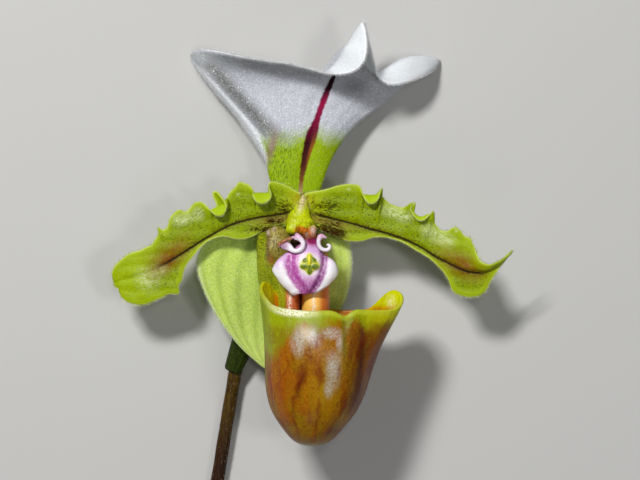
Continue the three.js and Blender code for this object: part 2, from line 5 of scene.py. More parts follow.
import bmesh
import bpy
import numpy as np
from bpy.props import FloatProperty, FloatVectorProperty, IntProperty, PointerProperty
from mathutils import Matrix, Vector


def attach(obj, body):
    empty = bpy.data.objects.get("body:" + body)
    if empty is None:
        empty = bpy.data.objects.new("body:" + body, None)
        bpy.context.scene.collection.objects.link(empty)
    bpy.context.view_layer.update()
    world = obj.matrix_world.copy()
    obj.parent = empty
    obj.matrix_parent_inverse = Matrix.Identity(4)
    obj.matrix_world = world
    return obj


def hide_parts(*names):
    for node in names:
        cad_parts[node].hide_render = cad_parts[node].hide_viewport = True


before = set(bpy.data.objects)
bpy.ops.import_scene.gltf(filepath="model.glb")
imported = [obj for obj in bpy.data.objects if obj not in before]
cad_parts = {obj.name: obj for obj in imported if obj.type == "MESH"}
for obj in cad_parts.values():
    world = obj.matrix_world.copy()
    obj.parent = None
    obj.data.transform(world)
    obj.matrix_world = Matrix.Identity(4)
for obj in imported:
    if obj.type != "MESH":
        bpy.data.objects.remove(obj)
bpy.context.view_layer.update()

bl_info = {
    "name": "Slipper Orchid Bloom",
    "version": (1, 0, 0),
    "blender": (4, 5, 0),
    "location": "View3D > Sidebar > Orchid",
    "description": "Models the fine surfaces, hairs and colours of a cut slipper orchid bloom",
    "category": "Object",
}

MM = 0.001
BODY = "root"

# Tables are in millimetres from the flower's centre: x to the viewer's right, y up along the dorsal
# sepal, z towards the viewer.
FLOWER_CENTRE = (-1.4, 24.7, 9.6)  # in the row frame

# ---- Shapes of the pieces --------------------------------------------------------------------

# Dorsal sepal: rows from its base to its top margin, each from the left side margin, over the ridge
# and the wall of the hood, to the midvein (8th point) and on to the right side margin.
DORSAL_NET = [
    [(-3.2, -0.3, -1.9), (-2.8, -0.4, -1.85), (-2.2, -0.5, -1.8), (-1.7, -0.7, -1.8), (-1.4, -0.8, -1.8),
     (-1.1, -0.8, -1.75), (-0.8, -0.8, -1.75), (-0.5, -0.8, -1.7), (-0.2, -0.8, -1.75), (0.4, -0.8, -1.75),
     (1.0, -0.8, -1.8), (1.7, -0.6, -1.85), (2.2, -0.4, -1.9)],
    [(-4.6, 5.0, -4.5), (-5.3, 4.8, -2.9), (-4.7, 4.8, -2.1), (-3.3, 4.6, -1.8), (-2.2, 4.5, -1.7),
     (-1.4, 4.5, -1.7), (-0.8, 4.5, -1.7), (-0.3, 4.5, -1.6), (0.4, 4.5, -1.6), (1.4, 4.5, -1.7),
     (2.6, 4.6, -2.0), (3.2, 4.8, -2.8), (2.4, 5.2, -4.4)],
    [(-7.7, 10.2, -5.1), (-6.5, 9.8, -3.2), (-5.6, 9.8, -3.4), (-3.8, 9.6, -2.9), (-2.1, 9.5, -2.5),
     (-1.0, 9.5, -2.4), (-0.1, 9.5, -2.4), (0.7, 9.5, -2.3), (1.8, 9.5, -2.3), (3.3, 9.6, -2.6),
     (4.6, 9.8, -3.3), (5.5, 10.0, -4.4), (4.3, 10.6, -6.0)],
    [(-11.3, 15.4, -6.0), (-9.7, 15.2, -3.9), (-7.4, 15.0, -5.3), (-4.2, 14.8, -4.8), (-1.5, 14.6, -4.1),
     (-0.1, 14.5, -3.8), (1.0, 14.5, -3.7), (2.2, 14.5, -3.5), (3.8, 14.5, -3.5), (5.9, 14.4, -3.8),
     (8.1, 14.6, -4.8), (9.7, 15.0, -6.2), (8.2, 15.8, -7.6)],
    [(-15.7, 20.6, -7.8), (-14.2, 20.5, -5.2), (-11.2, 20.0, -6.9), (-6.0, 19.6, -6.3), (-1.4, 19.4, -5.3),
     (1.0, 19.5, -4.7), (2.6, 19.6, -4.4), (4.0, 19.5, -4.1), (6.3, 19.2, -4.2), (9.2, 18.4, -4.8),
     (12.4, 18.4, -6.2), (15.0, 19.2, -7.8), (14.2, 20.2, -8.9)],
    [(-18.7, 24.9, -9.4), (-17.2, 25.0, -7.0), (-12.8, 24.0, -6.0), (-7.0, 23.2, -4.8), (-0.8, 22.6, -3.8),
     (3.4, 22.4, -2.2), (6.1, 25.8, 1.0), (6.9, 25.4, -1.8), (9.3, 24.0, -2.6), (12.0, 22.4, -3.0),
     (16.4, 24.7, -5.0), (20.4, 25.1, -7.8), (21.9, 24.7, -9.3)],
    [(-18.5, 26.2, -9.4), (-15.9, 26.5, -5.8), (-11.2, 25.5, -2.8), (-6.2, 24.4, -0.8), (-0.6, 23.4, 0.6),
     (5.6, 21.9, 2.6), (10.2, 24.6, 4.4), (10.1, 30.3, 2.0), (11.2, 25.8, 1.2), (13.2, 20.9, -0.4),
     (17.6, 21.1, -2.4), (21.2, 22.8, -6.0), (22.4, 24.0, -9.3)],
]
DORSAL_MIDVEIN = 7 / 12  # share of the way across
DORSAL_KEEL = {"depth": 0.35, "width": 0.7}  # furrow along the midvein
DORSAL_VEINS = 95  # radians of the veins' wave across the blade
VEIN_HEIGHT = 0.02

# Synsepal (the two fused lower sepals): rows from its base to its tip, each from left to right.
SYNSEPAL_NET = [
    [(-2.9, -1.0, -2.85), (-2.1, -0.9, -2.9), (-1.3, -0.8, -2.9), (-0.5, -0.8, -2.9), (0.3, -0.8, -2.9),
     (1.1, -0.9, -2.9), (1.9, -1.1, -2.85)],
    [(-12.5, -3.0, -2.5), (-8.6, -3.9, -3.1), (-4.8, -4.6, -3.4), (-1.4, -5.0, -3.5), (1.6, -4.8, -3.4),
     (4.2, -4.2, -3.2), (6.4, -3.4, -2.9)],
    [(-17.2, -7.4, -1.6), (-12.6, -8.6, -2.6), (-7.4, -9.6, -3.4), (-2.6, -10.0, -3.6), (1.6, -9.8, -3.5),
     (5.2, -9.0, -3.4), (8.0, -7.8, -3.2)],
    [(-17.0, -12.0, -1.4), (-13.0, -13.6, -2.5), (-8.2, -14.8, -3.4), (-3.6, -15.4, -3.6),
     (0.8, -15.2, -3.6), (4.6, -14.4, -3.5), (7.7, -12.8, -3.3)],
    [(-14.9, -16.8, -1.6), (-11.9, -18.6, -2.7), (-8.4, -19.9, -3.4), (-4.6, -20.6, -3.6),
     (-0.8, -20.4, -3.6), (2.8, -19.4, -3.5), (6.0, -17.4, -3.4)],
    [(-11.2, -22.0, -2.4), (-9.4, -23.4, -3.0), (-7.4, -24.4, -3.4), (-5.2, -25.0, -3.6),
     (-2.8, -24.8, -3.6), (-0.4, -24.0, -3.6), (2.0, -22.4, -3.5)],
    [(-6.4, -26.3, -3.2), (-6.0, -26.7, -3.3), (-5.6, -27.0, -3.4), (-5.2, -27.1, -3.4),
     (-4.8, -27.0, -3.4), (-4.4, -26.7, -3.4), (-4.0, -26.2, -3.4)],
]
SYNSEPAL_RIBS = 58  # radians of the ribs' wave across the blade
RIB_HEIGHT = 0.05

# Petals: the midvein from base to tip as (x, y, z).
LEFT_MIDVEIN = [
    (-0.6, -0.4, -0.7), (-2.6, -0.8, -0.6), (-5.1, -1.2, -0.5), (-7.1, -1.5, -0.3), (-9.3, -2.0, -0.1),
    (-11.7, -2.7, 0.2), (-13.4, -3.5, 0.4), (-15.9, -4.9, 0.7), (-18.7, -6.7, 1.0), (-21.2, -8.3, 1.1),
    (-23.4, -9.5, 1.0), (-25.2, -10.5, 0.8), (-27.2, -11.2, 0.5), (-29.2, -11.8, 0.1), (-31.4, -12.3, -0.5),
]
RIGHT_MIDVEIN = [
    (0.5, -0.5, -0.7), (2.3, -1.1, -0.6), (4.1, -1.5, -0.5), (5.9, -2.0, -0.4), (7.5, -2.4, -0.2),
    (9.6, -3.0, 0.1), (11.3, -3.5, 0.3), (12.9, -3.9, 0.5), (14.5, -4.35, 0.7), (16.7, -5.15, 0.8),
    (18.6, -6.0, 1.0), (20.0, -6.8, 1.1), (21.2, -7.6, 1.3), (22.5, -8.35, 1.4), (24.0, -9.1, 1.5),
    (25.2, -9.7, 1.6), (26.7, -10.3, 1.7), (28.2, -10.6, 1.9), (29.9, -10.6, 2.2), (31.7, -9.8, 2.7),
    (33.2, -8.4, 3.3), (34.1, -7.3, 3.6),
]
# The upper margin, with its forward curls, as (x of the midvein's point that faces it, the margin's
# x, y and z, share that it is rolled, height of the roll's top above the margin).
LEFT_UPPER = [
    (-0.6, -0.3, 2.3, -0.2, 0, 0), (-1.7, -1.8, 3.2, -0.1, 0, 0), (-3.0, -3.4, 4.0, 0.0, 0, 0),
    (-4.1, -4.6, 4.35, 0.1, 0, 0), (-4.7, -5.3, 4.35, 0.3, 0, 0), (-4.95, -5.65, 3.9, 0.7, 0.1, 0),
    (-5.2, -5.5, 3.1, 1.4, 0.4, 0), (-5.45, -5.3, 2.2, 1.9, 0.8, 0.4), (-5.7, -5.4, 1.4, 2.1, 1, 1.0),
    (-6.1, -5.9, 0.9, 2.1, 1, 1.4), (-6.7, -6.7, 0.6, 2.1, 1, 1.6), (-7.2, -7.5, 0.8, 2.1, 1, 1.4),
    (-7.6, -8.0, 1.4, 2.0, 1, 0.8), (-7.8, -8.2, 2.1, 1.7, 0.8, 0.2), (-8.05, -8.2, 2.8, 1.2, 0.4, 0),
    (-8.35, -8.5, 3.4, 0.8, 0.1, 0), (-8.8, -9.1, 3.9, 0.6, 0, 0), (-9.4, -9.8, 4.15, 0.5, 0, 0),
    (-9.9, -10.4, 4.3, 0.5, 0, 0), (-10.2, -10.75, 4.1, 0.5, 0, 0), (-10.6, -11.15, 3.5, 0.5, 0, 0),
    (-11.1, -11.8, 2.9, 0.5, 0, 0), (-11.4, -12.2, 2.4, 0.5, 0, 0), (-11.7, -12.5, 1.8, 0.6, 0, 0),
    (-11.9, -12.6, 1.3, 1.3, 0.5, 0.2), (-12.1, -12.65, 0.7, 2.0, 0.9, 0.7),
    (-12.35, -12.6, 0.0, 2.3, 1, 1.2), (-12.65, -12.7, -0.6, 2.4, 1, 1.6), (-13.0, -13.0, -1.1, 2.4, 1, 1.7),
    (-13.4, -13.5, -1.4, 2.4, 1, 1.6), (-13.8, -14.0, -1.4, 2.4, 1, 1.4), (-14.2, -14.5, -1.2, 2.4, 1, 1.0),
    (-14.6, -15.0, -0.7, 2.3, 0.9, 0.3), (-14.9, -15.4, -0.2, 2.0, 0.5, 0), (-15.2, -15.8, 0.25, 1.6, 0.2, 0),
    (-15.6, -16.3, 0.75, 1.3, 0, 0), (-16.0, -16.9, 1.05, 1.1, 0, 0), (-16.5, -17.6, 0.95, 1.1, 0, 0),
    (-16.9, -18.1, 0.6, 1.1, 0, 0), (-17.3, -18.6, 0.0, 1.1, 0, 0), (-17.6, -19.0, -0.45, 1.1, 0, 0),
    (-17.95, -19.4, -0.6, 1.2, 0, 0), (-18.4, -20.0, -0.4, 1.2, 0, 0), (-18.75, -20.4, -0.3, 1.2, 0, 0),
    (-19.1, -20.9, -0.55, 1.2, 0, 0), (-19.5, -21.5, -1.1, 1.2, 0, 0), (-19.9, -21.95, -1.7, 1.2, 0, 0),
    (-20.3, -22.1, -2.4, 1.2, 0, 0), (-20.6, -22.3, -3.0, 1.2, 0, 0), (-20.9, -22.6, -3.4, 1.2, 0, 0),
    (-21.2, -23.0, -3.6, 1.2, 0, 0), (-21.5, -23.45, -3.45, 1.2, 0, 0), (-21.75, -23.9, -3.15, 1.2, 0, 0),
    (-21.95, -23.85, -3.8, 1.2, 0, 0), (-22.2, -23.85, -4.4, 1.2, 0, 0), (-22.6, -24.2, -5.0, 1.1, 0, 0),
    (-23.1, -24.6, -5.6, 1.1, 0, 0), (-23.5, -24.95, -6.1, 1.0, 0, 0), (-24.1, -25.7, -6.4, 0.9, 0, 0),
    (-25.0, -26.9, -7.0, 0.7, 0, 0), (-26.0, -28.1, -7.3, 0.5, 0, 0), (-27.1, -29.1, -7.8, 0.3, 0, 0),
    (-28.2, -30.1, -8.6, 0.1, 0, 0), (-29.3, -31.0, -9.5, -0.1, 0, 0), (-30.3, -31.5, -10.5, -0.3, 0, 0),
    (-31.0, -31.5, -11.4, -0.5, 0, 0), (-31.35, -31.35, -12.2, -0.6, 0, 0),
]
RIGHT_UPPER = [
    (0.5, 0.2, 2.3, -0.2, 0, 0), (1.6, 1.5, 2.7, -0.1, 0, 0), (3.4, 3.6, 3.05, 0.0, 0, 0),
    (4.7, 5.0, 3.5, 0.1, 0, 0), (6.0, 6.3, 3.8, 0.2, 0, 0), (7.1, 7.4, 3.95, 0.3, 0, 0),
    (8.1, 8.6, 3.9, 0.3, 0, 0), (8.7, 9.3, 3.65, 0.5, 0, 0), (9.0, 9.65, 3.0, 1.1, 0.3, 0),
    (9.3, 9.9, 2.2, 1.8, 0.7, 0.1), (9.6, 10.15, 1.4, 2.2, 1, 0.6), (9.95, 10.55, 0.85, 2.3, 1, 1.1),
    (10.4, 11.15, 0.55, 2.3, 1, 1.35), (10.8, 11.7, 0.7, 2.3, 1, 1.25), (11.15, 12.2, 1.1, 2.3, 1, 1.0),
    (11.45, 12.5, 1.75, 2.2, 1, 0.7), (11.7, 12.7, 2.5, 2.0, 0.9, 0.3), (11.9, 12.9, 3.1, 1.8, 0.5, 0.1),
    (12.05, 13.0, 3.4, 1.6, 0.2, 0), (12.2, 12.95, 2.9, 1.2, 0, 0), (12.4, 12.9, 2.3, 0.8, 0, 0),
    (12.7, 13.2, 1.8, 0.5, 0, 0), (13.1, 13.7, 1.25, 0.4, 0, 0), (13.6, 14.4, 0.7, 0.3, 0, 0),
    (14.3, 15.3, 0.3, 0.3, 0, 0), (15.0, 16.1, 0.1, 0.3, 0, 0), (15.6, 16.8, 0.2, 0.4, 0, 0),
    (16.1, 17.4, 0.6, 0.8, 0, 0), (16.5, 18.0, 0.9, 1.3, 0, 0), (16.75, 18.45, 0.85, 1.7, 0.2, 0),
    (16.9, 18.0, 0.55, 2.0, 0.4, 0), (17.05, 17.75, 0.0, 2.2, 0.6, 0.1), (17.25, 17.8, -0.65, 2.3, 0.8, 0.35),
    (17.5, 18.15, -1.3, 2.4, 1, 0.45), (17.85, 18.65, -1.9, 2.4, 1, 0.55), (18.3, 19.3, -2.2, 2.4, 1, 0.6),
    (18.75, 19.95, -2.0, 2.4, 1, 0.5), (19.15, 20.55, -1.5, 2.4, 0.9, 0.35),
    (19.5, 21.0, -0.95, 2.3, 0.6, 0.15),
    (19.75, 21.35, -0.5, 2.1, 0.2, 0), (19.95, 21.6, -0.85, 1.8, 0, 0), (20.15, 21.65, -1.5, 1.6, 0, 0),
    (20.4, 21.65, -2.2, 1.5, 0, 0), (20.8, 21.95, -2.9, 1.5, 0, 0), (21.3, 22.5, -3.5, 1.5, 0, 0),
    (21.9, 23.2, -3.8, 1.6, 0, 0), (22.4, 23.8, -3.75, 1.7, 0, 0), (22.9, 24.5, -3.35, 1.8, 0, 0),
    (23.3, 25.0, -3.15, 1.8, 0, 0), (23.7, 25.5, -3.35, 1.8, 0, 0), (24.1, 26.0, -3.9, 1.8, 0, 0),
    (24.5, 26.5, -4.55, 1.8, 0, 0), (24.9, 27.0, -4.75, 1.8, 0, 0), (25.3, 27.5, -5.0, 1.9, 0, 0),
    (25.6, 27.8, -5.6, 2.0, 0, 0), (26.0, 28.2, -6.5, 2.1, 0, 0), (26.5, 28.55, -7.5, 2.4, 0, 0),
    (27.1, 29.0, -8.5, 2.8, 0, 0), (27.9, 29.6, -9.0, 3.1, 0, 0), (28.8, 30.4, -9.25, 3.4, 0, 0),
    (29.8, 31.2, -9.1, 3.6, 0, 0), (30.8, 32.0, -8.7, 3.8, 0, 0), (31.7, 32.7, -8.35, 3.9, 0, 0),
    (32.6, 33.4, -7.75, 3.9, 0, 0), (33.4, 34.0, -7.25, 3.9, 0, 0), (34.05, 34.4, -6.98, 3.8, 0, 0),
]
# The lower margin as (x of the midvein's point that faces it, the margin's x, y and z).
LEFT_LOWER = [
    (-0.6, -0.8, -2.7, -0.5), (-2.5, -2.6, -3.0, -0.4), (-4.5, -4.4, -3.4, -0.3), (-6.3, -6.2, -3.7, -0.1),
    (-7.6, -7.4, -4.2, 0.0), (-8.6, -8.3, -4.7, 0.1), (-9.9, -9.6, -5.1, 0.2), (-11.2, -10.9, -5.15, 0.4),
    (-12.3, -12.0, -4.9, 0.4), (-13.4, -13.0, -4.7, 0.5), (-14.7, -14.2, -4.9, 0.6),
    (-15.9, -15.5, -5.4, 0.7),
    (-17.0, -16.5, -6.2, 0.9), (-18.0, -17.3, -7.0, 1.0), (-19.0, -18.0, -7.9, 1.1),
    (-19.8, -18.6, -8.6, 1.1),
    (-20.5, -19.1, -9.3, 1.1), (-21.1, -19.5, -10.1, 1.1), (-21.6, -19.75, -11.0, 1.1),
    (-22.0, -19.95, -12.0, 1.0), (-22.25, -20.4, -12.6, 1.0), (-22.5, -20.45, -13.3, 1.0),
    (-22.75, -20.3, -13.8, 1.0), (-23.0, -20.6, -14.15, 1.0), (-23.4, -21.2, -14.2, 1.0),
    (-23.9, -22.0, -14.2, 0.9), (-24.5, -22.9, -14.6, 0.8), (-25.2, -23.8, -15.0, 0.7),
    (-26.0, -24.8, -15.45, 0.5),
    (-26.8, -25.8, -15.85, 0.3), (-27.6, -26.8, -16.0, 0.1), (-28.4, -27.9, -15.85, 0.0),
    (-29.1, -28.8, -15.6, -0.2), (-29.6, -29.5, -15.2, -0.3), (-30.0, -30.0, -14.6, -0.4),
    (-30.3, -30.3, -14.05, -0.5), (-30.5, -30.2, -13.6, -0.5), (-30.7, -30.5, -13.3, -0.5),
    (-31.0, -30.95, -13.1, -0.6), (-31.4, -31.3, -12.7, -0.6),
]
RIGHT_LOWER = [
    (0.5, 0.6, -2.8, -0.6), (2.3, 2.2, -3.4, -0.5), (4.1, 3.9, -4.1, -0.4), (5.5, 5.3, -4.6, -0.3),
    (6.5, 6.2, -5.05, -0.2), (7.5, 7.2, -5.4, -0.1), (8.5, 8.2, -5.5, 0.0), (9.4, 9.1, -5.5, 0.1),
    (10.3, 10.0, -5.4, 0.2), (11.2, 10.8, -5.1, 0.3), (12.1, 11.7, -4.85, 0.4), (13.2, 12.8, -4.8, 0.5),
    (14.6, 14.1, -4.95, 0.6), (16.0, 15.5, -5.35, 0.7), (17.2, 16.7, -5.85, 0.8), (18.4, 17.8, -6.5, 0.9),
    (19.3, 18.6, -7.0, 1.0), (20.2, 19.5, -7.5, 1.1), (21.0, 20.3, -8.0, 1.2), (21.8, 21.0, -8.5, 1.3),
    (22.6, 21.7, -9.1, 1.3), (23.4, 22.3, -9.7, 1.3), (24.1, 22.9, -10.3, 1.3), (24.7, 23.5, -11.1, 1.3),
    (25.2, 23.9, -11.8, 1.2), (25.6, 24.15, -12.4, 1.2), (26.0, 24.35, -13.1, 1.2), (26.3, 24.7, -13.65, 1.2),
    (26.7, 25.2, -14.1, 1.2), (27.1, 25.9, -14.4, 1.2), (27.5, 26.7, -14.6, 1.3), (27.9, 27.5, -14.7, 1.4),
    (28.3, 28.3, -14.6, 1.5), (28.7, 29.1, -14.4, 1.6), (29.1, 29.8, -13.9, 1.7), (29.5, 30.3, -13.2, 1.9),
    (29.9, 30.6, -12.5, 2.0), (30.3, 30.95, -11.9, 2.2), (30.8, 31.35, -11.2, 2.3), (31.3, 31.85, -10.5, 2.5),
    (31.9, 32.3, -9.7, 2.8), (32.5, 32.75, -9.0, 3.1), (33.1, 33.2, -8.3, 3.3), (33.7, 33.8, -7.6, 3.6),
    (34.1, 34.3, -7.08, 3.7),
]
# Tip of the left petal's second curl, a narrow channel: rows of (x, y, z) from its base to its end.
CURL_TIP_NET = [
    [(-14.0, -0.5, 1.6), (-13.6, -0.5, 1.3), (-13.1, -0.4, 1.3), (-12.6, -0.1, 2.2)],
    [(-14.25, 0.5, 1.8), (-13.8, 0.5, 1.5), (-13.2, 0.6, 1.5), (-12.65, 0.7, 2.3)],
    [(-14.6, 1.4, 1.9), (-14.2, 1.35, 1.6), (-13.6, 1.4, 1.6), (-13.05, 1.4, 2.3)],
    [(-14.9, 2.1, 1.95), (-14.6, 2.2, 1.75), (-14.1, 2.25, 1.75), (-13.6, 2.1, 2.3)],
    [(-14.75, 2.6, 1.95), (-14.55, 2.75, 1.9), (-14.25, 2.75, 1.95), (-14.0, 2.6, 2.1)],
]
PETAL_SHEEN = {  # painted sheen: whitish patches of painted highlight, as x, y and reach
    "left": [(-20.6, -2.1, 1.6), (-19.2, -1.7, 1.7), (-17.4, -1.0, 1.7), (-25.6, -11.6, 3.0),
             (-23.6, -10.2, 2.0), (-10.7, 2.3, 0.5), (-6.1, 1.2, 0.5)],
    "right": [(14.0, -0.3, 1.8), (15.6, -0.9, 1.9), (17.2, -1.6, 1.6), (20.6, -3.7, 1.9), (22.2, -4.6, 2.0),
              (23.8, -5.5, 2.0), (7.6, 3.1, 0.5), (25.2, -3.8, 0.5)],
}
PETAL_MIDVEIN = 1 / 3  # share of the way across, from the lower margin
ROLL_RADIUS = 0.8
PETAL_GROOVE = {"depth": 0.14, "width": 0.45}
PUCKER_HEIGHT = 0.09
BEARDS = {  # patches of dark hairs as (x, y, spread in x and y, hairs)
    "left_petal": [(-2.7, 0.0, 1.0, 0.8, 110), (-4.3, -2.3, 1.2, 0.6, 110), (-6.8, -3.4, 1.6, 0.5, 70)],
    "right_petal": [(3.0, 0.0, 1.6, 0.9, 140), (3.4, -3.0, 1.6, 0.7, 170), (5.2, -3.9, 1.3, 0.6, 120)],
}
NOSE = (0.0, -1.6, 0.0)  # the beards' hairs point away from here

# Pouch of the lip: rings from its toe to its rim as (share of the way up, y, left, right, back, front).
POUCH_RINGS = [
    (0, -38.9, 1.4, 1.4, 6.6, 6.6), (0.12, -38.2, -1.1, 4.1, 3.6, 9.6), (0.25, -36.2, -3.1, 6.3, 1.4, 12.0),
    (0.4, -33.0, -5.1, 8.8, -0.3, 13.8), (0.58, -28.2, -6.1, 10.8, -1.2, 14.8),
    (0.76, -23.0, -6.2, 12.5, -1.5, 14.8), (0.9, -19.3, -6.6, 14.2, -1.6, 13.8),
    (1, -17.0, -6.9, 15.3, -1.6, 12.8),
]
# Rim of the pouch as (degrees round it, rise above the top ring, flare outwards): 0 is the right
# side, 90 the front and 180 the left. The two peaks are the lip's ears.
POUCH_RIM = [
    (-90, 0, 0), (-65, -0.2, 0), (-50, 0.3, 0), (-38, 1.7, 0), (-25, 2.9, 0.1), (-14, 3.2, 0.4),
    (-4, 2.8, 0.9), (5, 2.0, 1.2), (14, 1.1, 1.2), (24, 0.4, 0.9), (35, 0.1, 0.5),
    (45, 0.1, 0.3), (60, 0.2, 0.1), (69, 0, 0), (76, -0.75, -0.06), (83, -0.25, 0),
    (100, 0, 0.15), (115, 0.1, 0.2), (135, 0.5, 0.2), (150, 1.2, 0.1), (163, 2.2, 0),
    (175, 3.2, 0.2), (187, 4.4, 0.2), (197, 4.6, 0), (208, 3.9, 0), (220, 2.4, 0), (232, 1.0, 0),
    (250, 0, 0), (270, 0, 0),
]
RIM_RISE_START = 0.6  # share of the way up the pouch at which its rim begins to rise and flare
CLOSER_AT_RIM = 1.25  # power that draws the rings together towards the rim
POUCH_RIBS = 22
POUCH_CREASE = {"degrees": 76, "width": 9, "depth": 0.05, "from": 0.8}
POUCH_STAINS = [  # dark lines down the pouch: x where y is 0, lean, middle y and half-length
    (7.4, 0.39, -27.0, 4.5), (8.1, 0.3, -29.0, 6.5), (13.2, 0.16, -31.0, 5.5),
]
POUCH_HIGHLIGHTS = [  # painted highlights, whitish patches where the lights would reflect: x, y, reach in x and y
    (-0.7, -21.7, 1.4, 2.6), (1.8, -20.9, 1.6, 2.0), (4.4, -20.2, 2.0, 1.1), (5.9, -21.6, 0.6, 1.9),
    (4.9, -26.3, 1.4, 3.3), (4.2, -29.0, 0.8, 1.7),
]

# Side lobes of the lip, folded in over the claw: rows from the claw down into the pouch as
# (y, then x, z of each point), from the left lobe's inner edge round the back to the right one's.
LOBE_NET = [
    (-4.2, (-2.5, -0.5), (-3.3, 0.0), (-4.6, 0.3), (-5.8, 0.2), (-6.9, -0.5), (-5.8, -1.2), (-1.8, -1.5),
     (2.0, -1.5), (3.2, -1.4), (3.3, -1.2), (3.0, -1.0), (2.5, -0.9), (2.0, -0.9)),
    (-7.2, (-2.3, 0.3), (-3.2, 1.1), (-4.6, 1.6), (-5.9, 1.7), (-7.1, 0.9), (-6.3, -1.1), (-1.8, -1.7),
     (2.6, -1.1), (3.7, 0.2), (3.6, 1.3), (2.9, 1.9), (2.0, 1.8), (1.3, 1.2)),
    (-10.8, (-1.6, 0.6), (-2.4, 1.8), (-3.8, 1.7), (-5.3, 1.9), (-6.9, 1.0), (-6.5, -1.1), (-1.8, -1.8),
     (2.8, -1.1), (3.9, 0.8), (3.7, 2.3), (2.5, 3.1), (0.9, 3.0), (0.2, 1.6)),
    (-14.4, (-0.8, 1.4), (-1.6, 3.2), (-3.0, 2.4), (-4.6, 0.9), (-6.0, -0.2), (-6.3, -1.2), (-1.8, -1.8),
     (2.9, -1.1), (4.0, 1.2), (3.8, 3.0), (2.6, 4.1), (0.8, 3.9), (0.0, 1.9)),
    (-18.4, (-0.8, 1.2), (-1.6, 3.0), (-3.0, 2.2), (-4.4, 0.7), (-5.4, -0.2), (-5.6, -0.9), (-1.6, -1.3),
     (2.9, -1.0), (4.0, 0.9), (3.8, 2.8), (2.6, 3.9), (0.8, 3.7), (0.0, 1.7)),
    (-22.5, (-0.8, -0.1), (-1.6, 1.2), (-2.8, 0.4), (-4.0, 0.3), (-4.9, 0.1), (-4.4, -0.8), (-1.4, -1.0),
     (2.4, -0.9), (3.4, 0.0), (3.2, 1.1), (2.4, 1.8), (0.9, 1.6), (0.1, 0.5)),
]
LEFT_LOBE_SHARE = 0.4  # of the way round
LOBE_DOME = {"centre": (-4.2, -6.0), "radius": 2.1, "height": 1.3}  # swelling of the left lobe
LOBE_CREST = {"x": -4.2, "height": 0.9, "width": 1.6, "share": 0.18}  # lift of its upper edge
LOBE_SPOTS = [(-4.8, -3.4), (-5.7, -4.0)]  # pale spots near the claw, as x and y

# Staminode, the shield in front of the column: its outline as (y, left edge, right edge).
SHIELD_OUTLINE = [
    (-4.5, 0.5, 2.3), (-5.6, 0.0, 2.6), (-6.6, -1.4, 3.1), (-7.5, -2.8, 3.5), (-8.4, -3.7, 4.4),
    (-9.4, -4.6, 5.3), (-10.3, -4.95, 5.7), (-11.3, -4.35, 5.4), (-12.3, -3.65, 4.2),
    (-13.0, -2.75, 3.2), (-13.6, -2.05, 2.3), (-14.0, -1.35, 1.35),
]
SHIELD_HEIGHT = {"edge": 5.35, "crown": 1.15, "dip": 2.2}  # dip: its neck's lean back into the column
SHIELD_POINT = {"x": 0.5, "length": 0.28, "width": 0.6}
BOSS_CENTRE = (1.1, -9.2, 6.75)
BOSS_OUTLINE = [  # degrees from the right, reach
    (0, 1.68), (24, 1.42), (45, 1.3), (66, 1.4), (90, 1.9), (114, 1.4), (135, 1.28), (156, 1.42), (180, 1.62),
    (206, 1.75), (236, 1.42), (268, 1.88), (300, 1.42), (334, 1.7), (360, 1.68),
]
BOSS_MOUNDS = [  # dark patches: x and y from the boss's centre, reach in x and y
    (-0.78, 0.68, 0.4, 0.42), (0.76, 0.78, 0.42, 0.5), (-0.9, -0.4, 0.68, 0.4), (0.0, -0.95, 0.4, 0.85),
    (0.9, -0.42, 0.7, 0.44),
]
BOSS_RIDGE = (-0.04, 0.75, 0.3, 1.0)
BOSS_HEIGHT = {"dome": 0.34, "mounds": 0.14, "ridge": 0.3, "underside": -0.75}

# Purple bands of the shield as (y, the middle of the left one, the middle of the right one).
SHIELD_BANDS = [
    (-7.0, -1.5, 3.2), (-7.8, -1.75, 3.4), (-9.4, -2.0, 3.4), (-11.0, -1.6, 3.0), (-12.6, -0.5, 2.2),
    (-13.9, 0.5, 1.2),
]

# Horns of the shield, curled: the route of each rolled edge as (x, y, half-thickness, front z).
LEFT_HORN = [
    (-1.4, -4.55, 0.5, 6.6), (-1.0, -4.72, 0.6, 6.9), (-0.5, -5.0, 0.5, 7.05), (-0.06, -5.5, 0.42, 7.15),
    (0.05, -6.1, 0.4, 7.15), (-0.24, -6.7, 0.4, 7.1), (-0.87, -7.05, 0.4, 7.05), (-1.6, -6.98, 0.42, 6.9),
    (-2.25, -6.45, 0.62, 6.6), (-2.95, -6.2, 0.66, 6.2), (-3.7, -6.15, 0.36, 5.9),
]
LEFT_FOLD = [
    (-1.35, -4.75, 0.2, 6.8), (-2.0, -5.0, 0.26, 6.7), (-2.7, -5.3, 0.26, 6.5), (-3.4, -5.65, 0.26, 6.3),
    (-3.85, -6.0, 0.24, 6.1), (-3.85, -6.4, 0.16, 6.0),
]
RIGHT_HORN = [
    (3.95, -4.95, 0.1, 6.8), (3.5, -4.78, 0.3, 6.95), (2.95, -4.7, 0.46, 7.05), (2.62, -5.2, 0.38, 7.1),
    (2.58, -5.85, 0.34, 7.1), (2.85, -6.5, 0.34, 7.1), (3.45, -6.88, 0.34, 7.05), (4.1, -6.82, 0.32, 7.0),
    (4.4, -6.4, 0.3, 6.9), (4.15, -6.05, 0.22, 6.8), (3.8, -6.2, 0.1, 6.7),
]
HORN_FLOOR = 5.5  # z of the horns' hidden edges

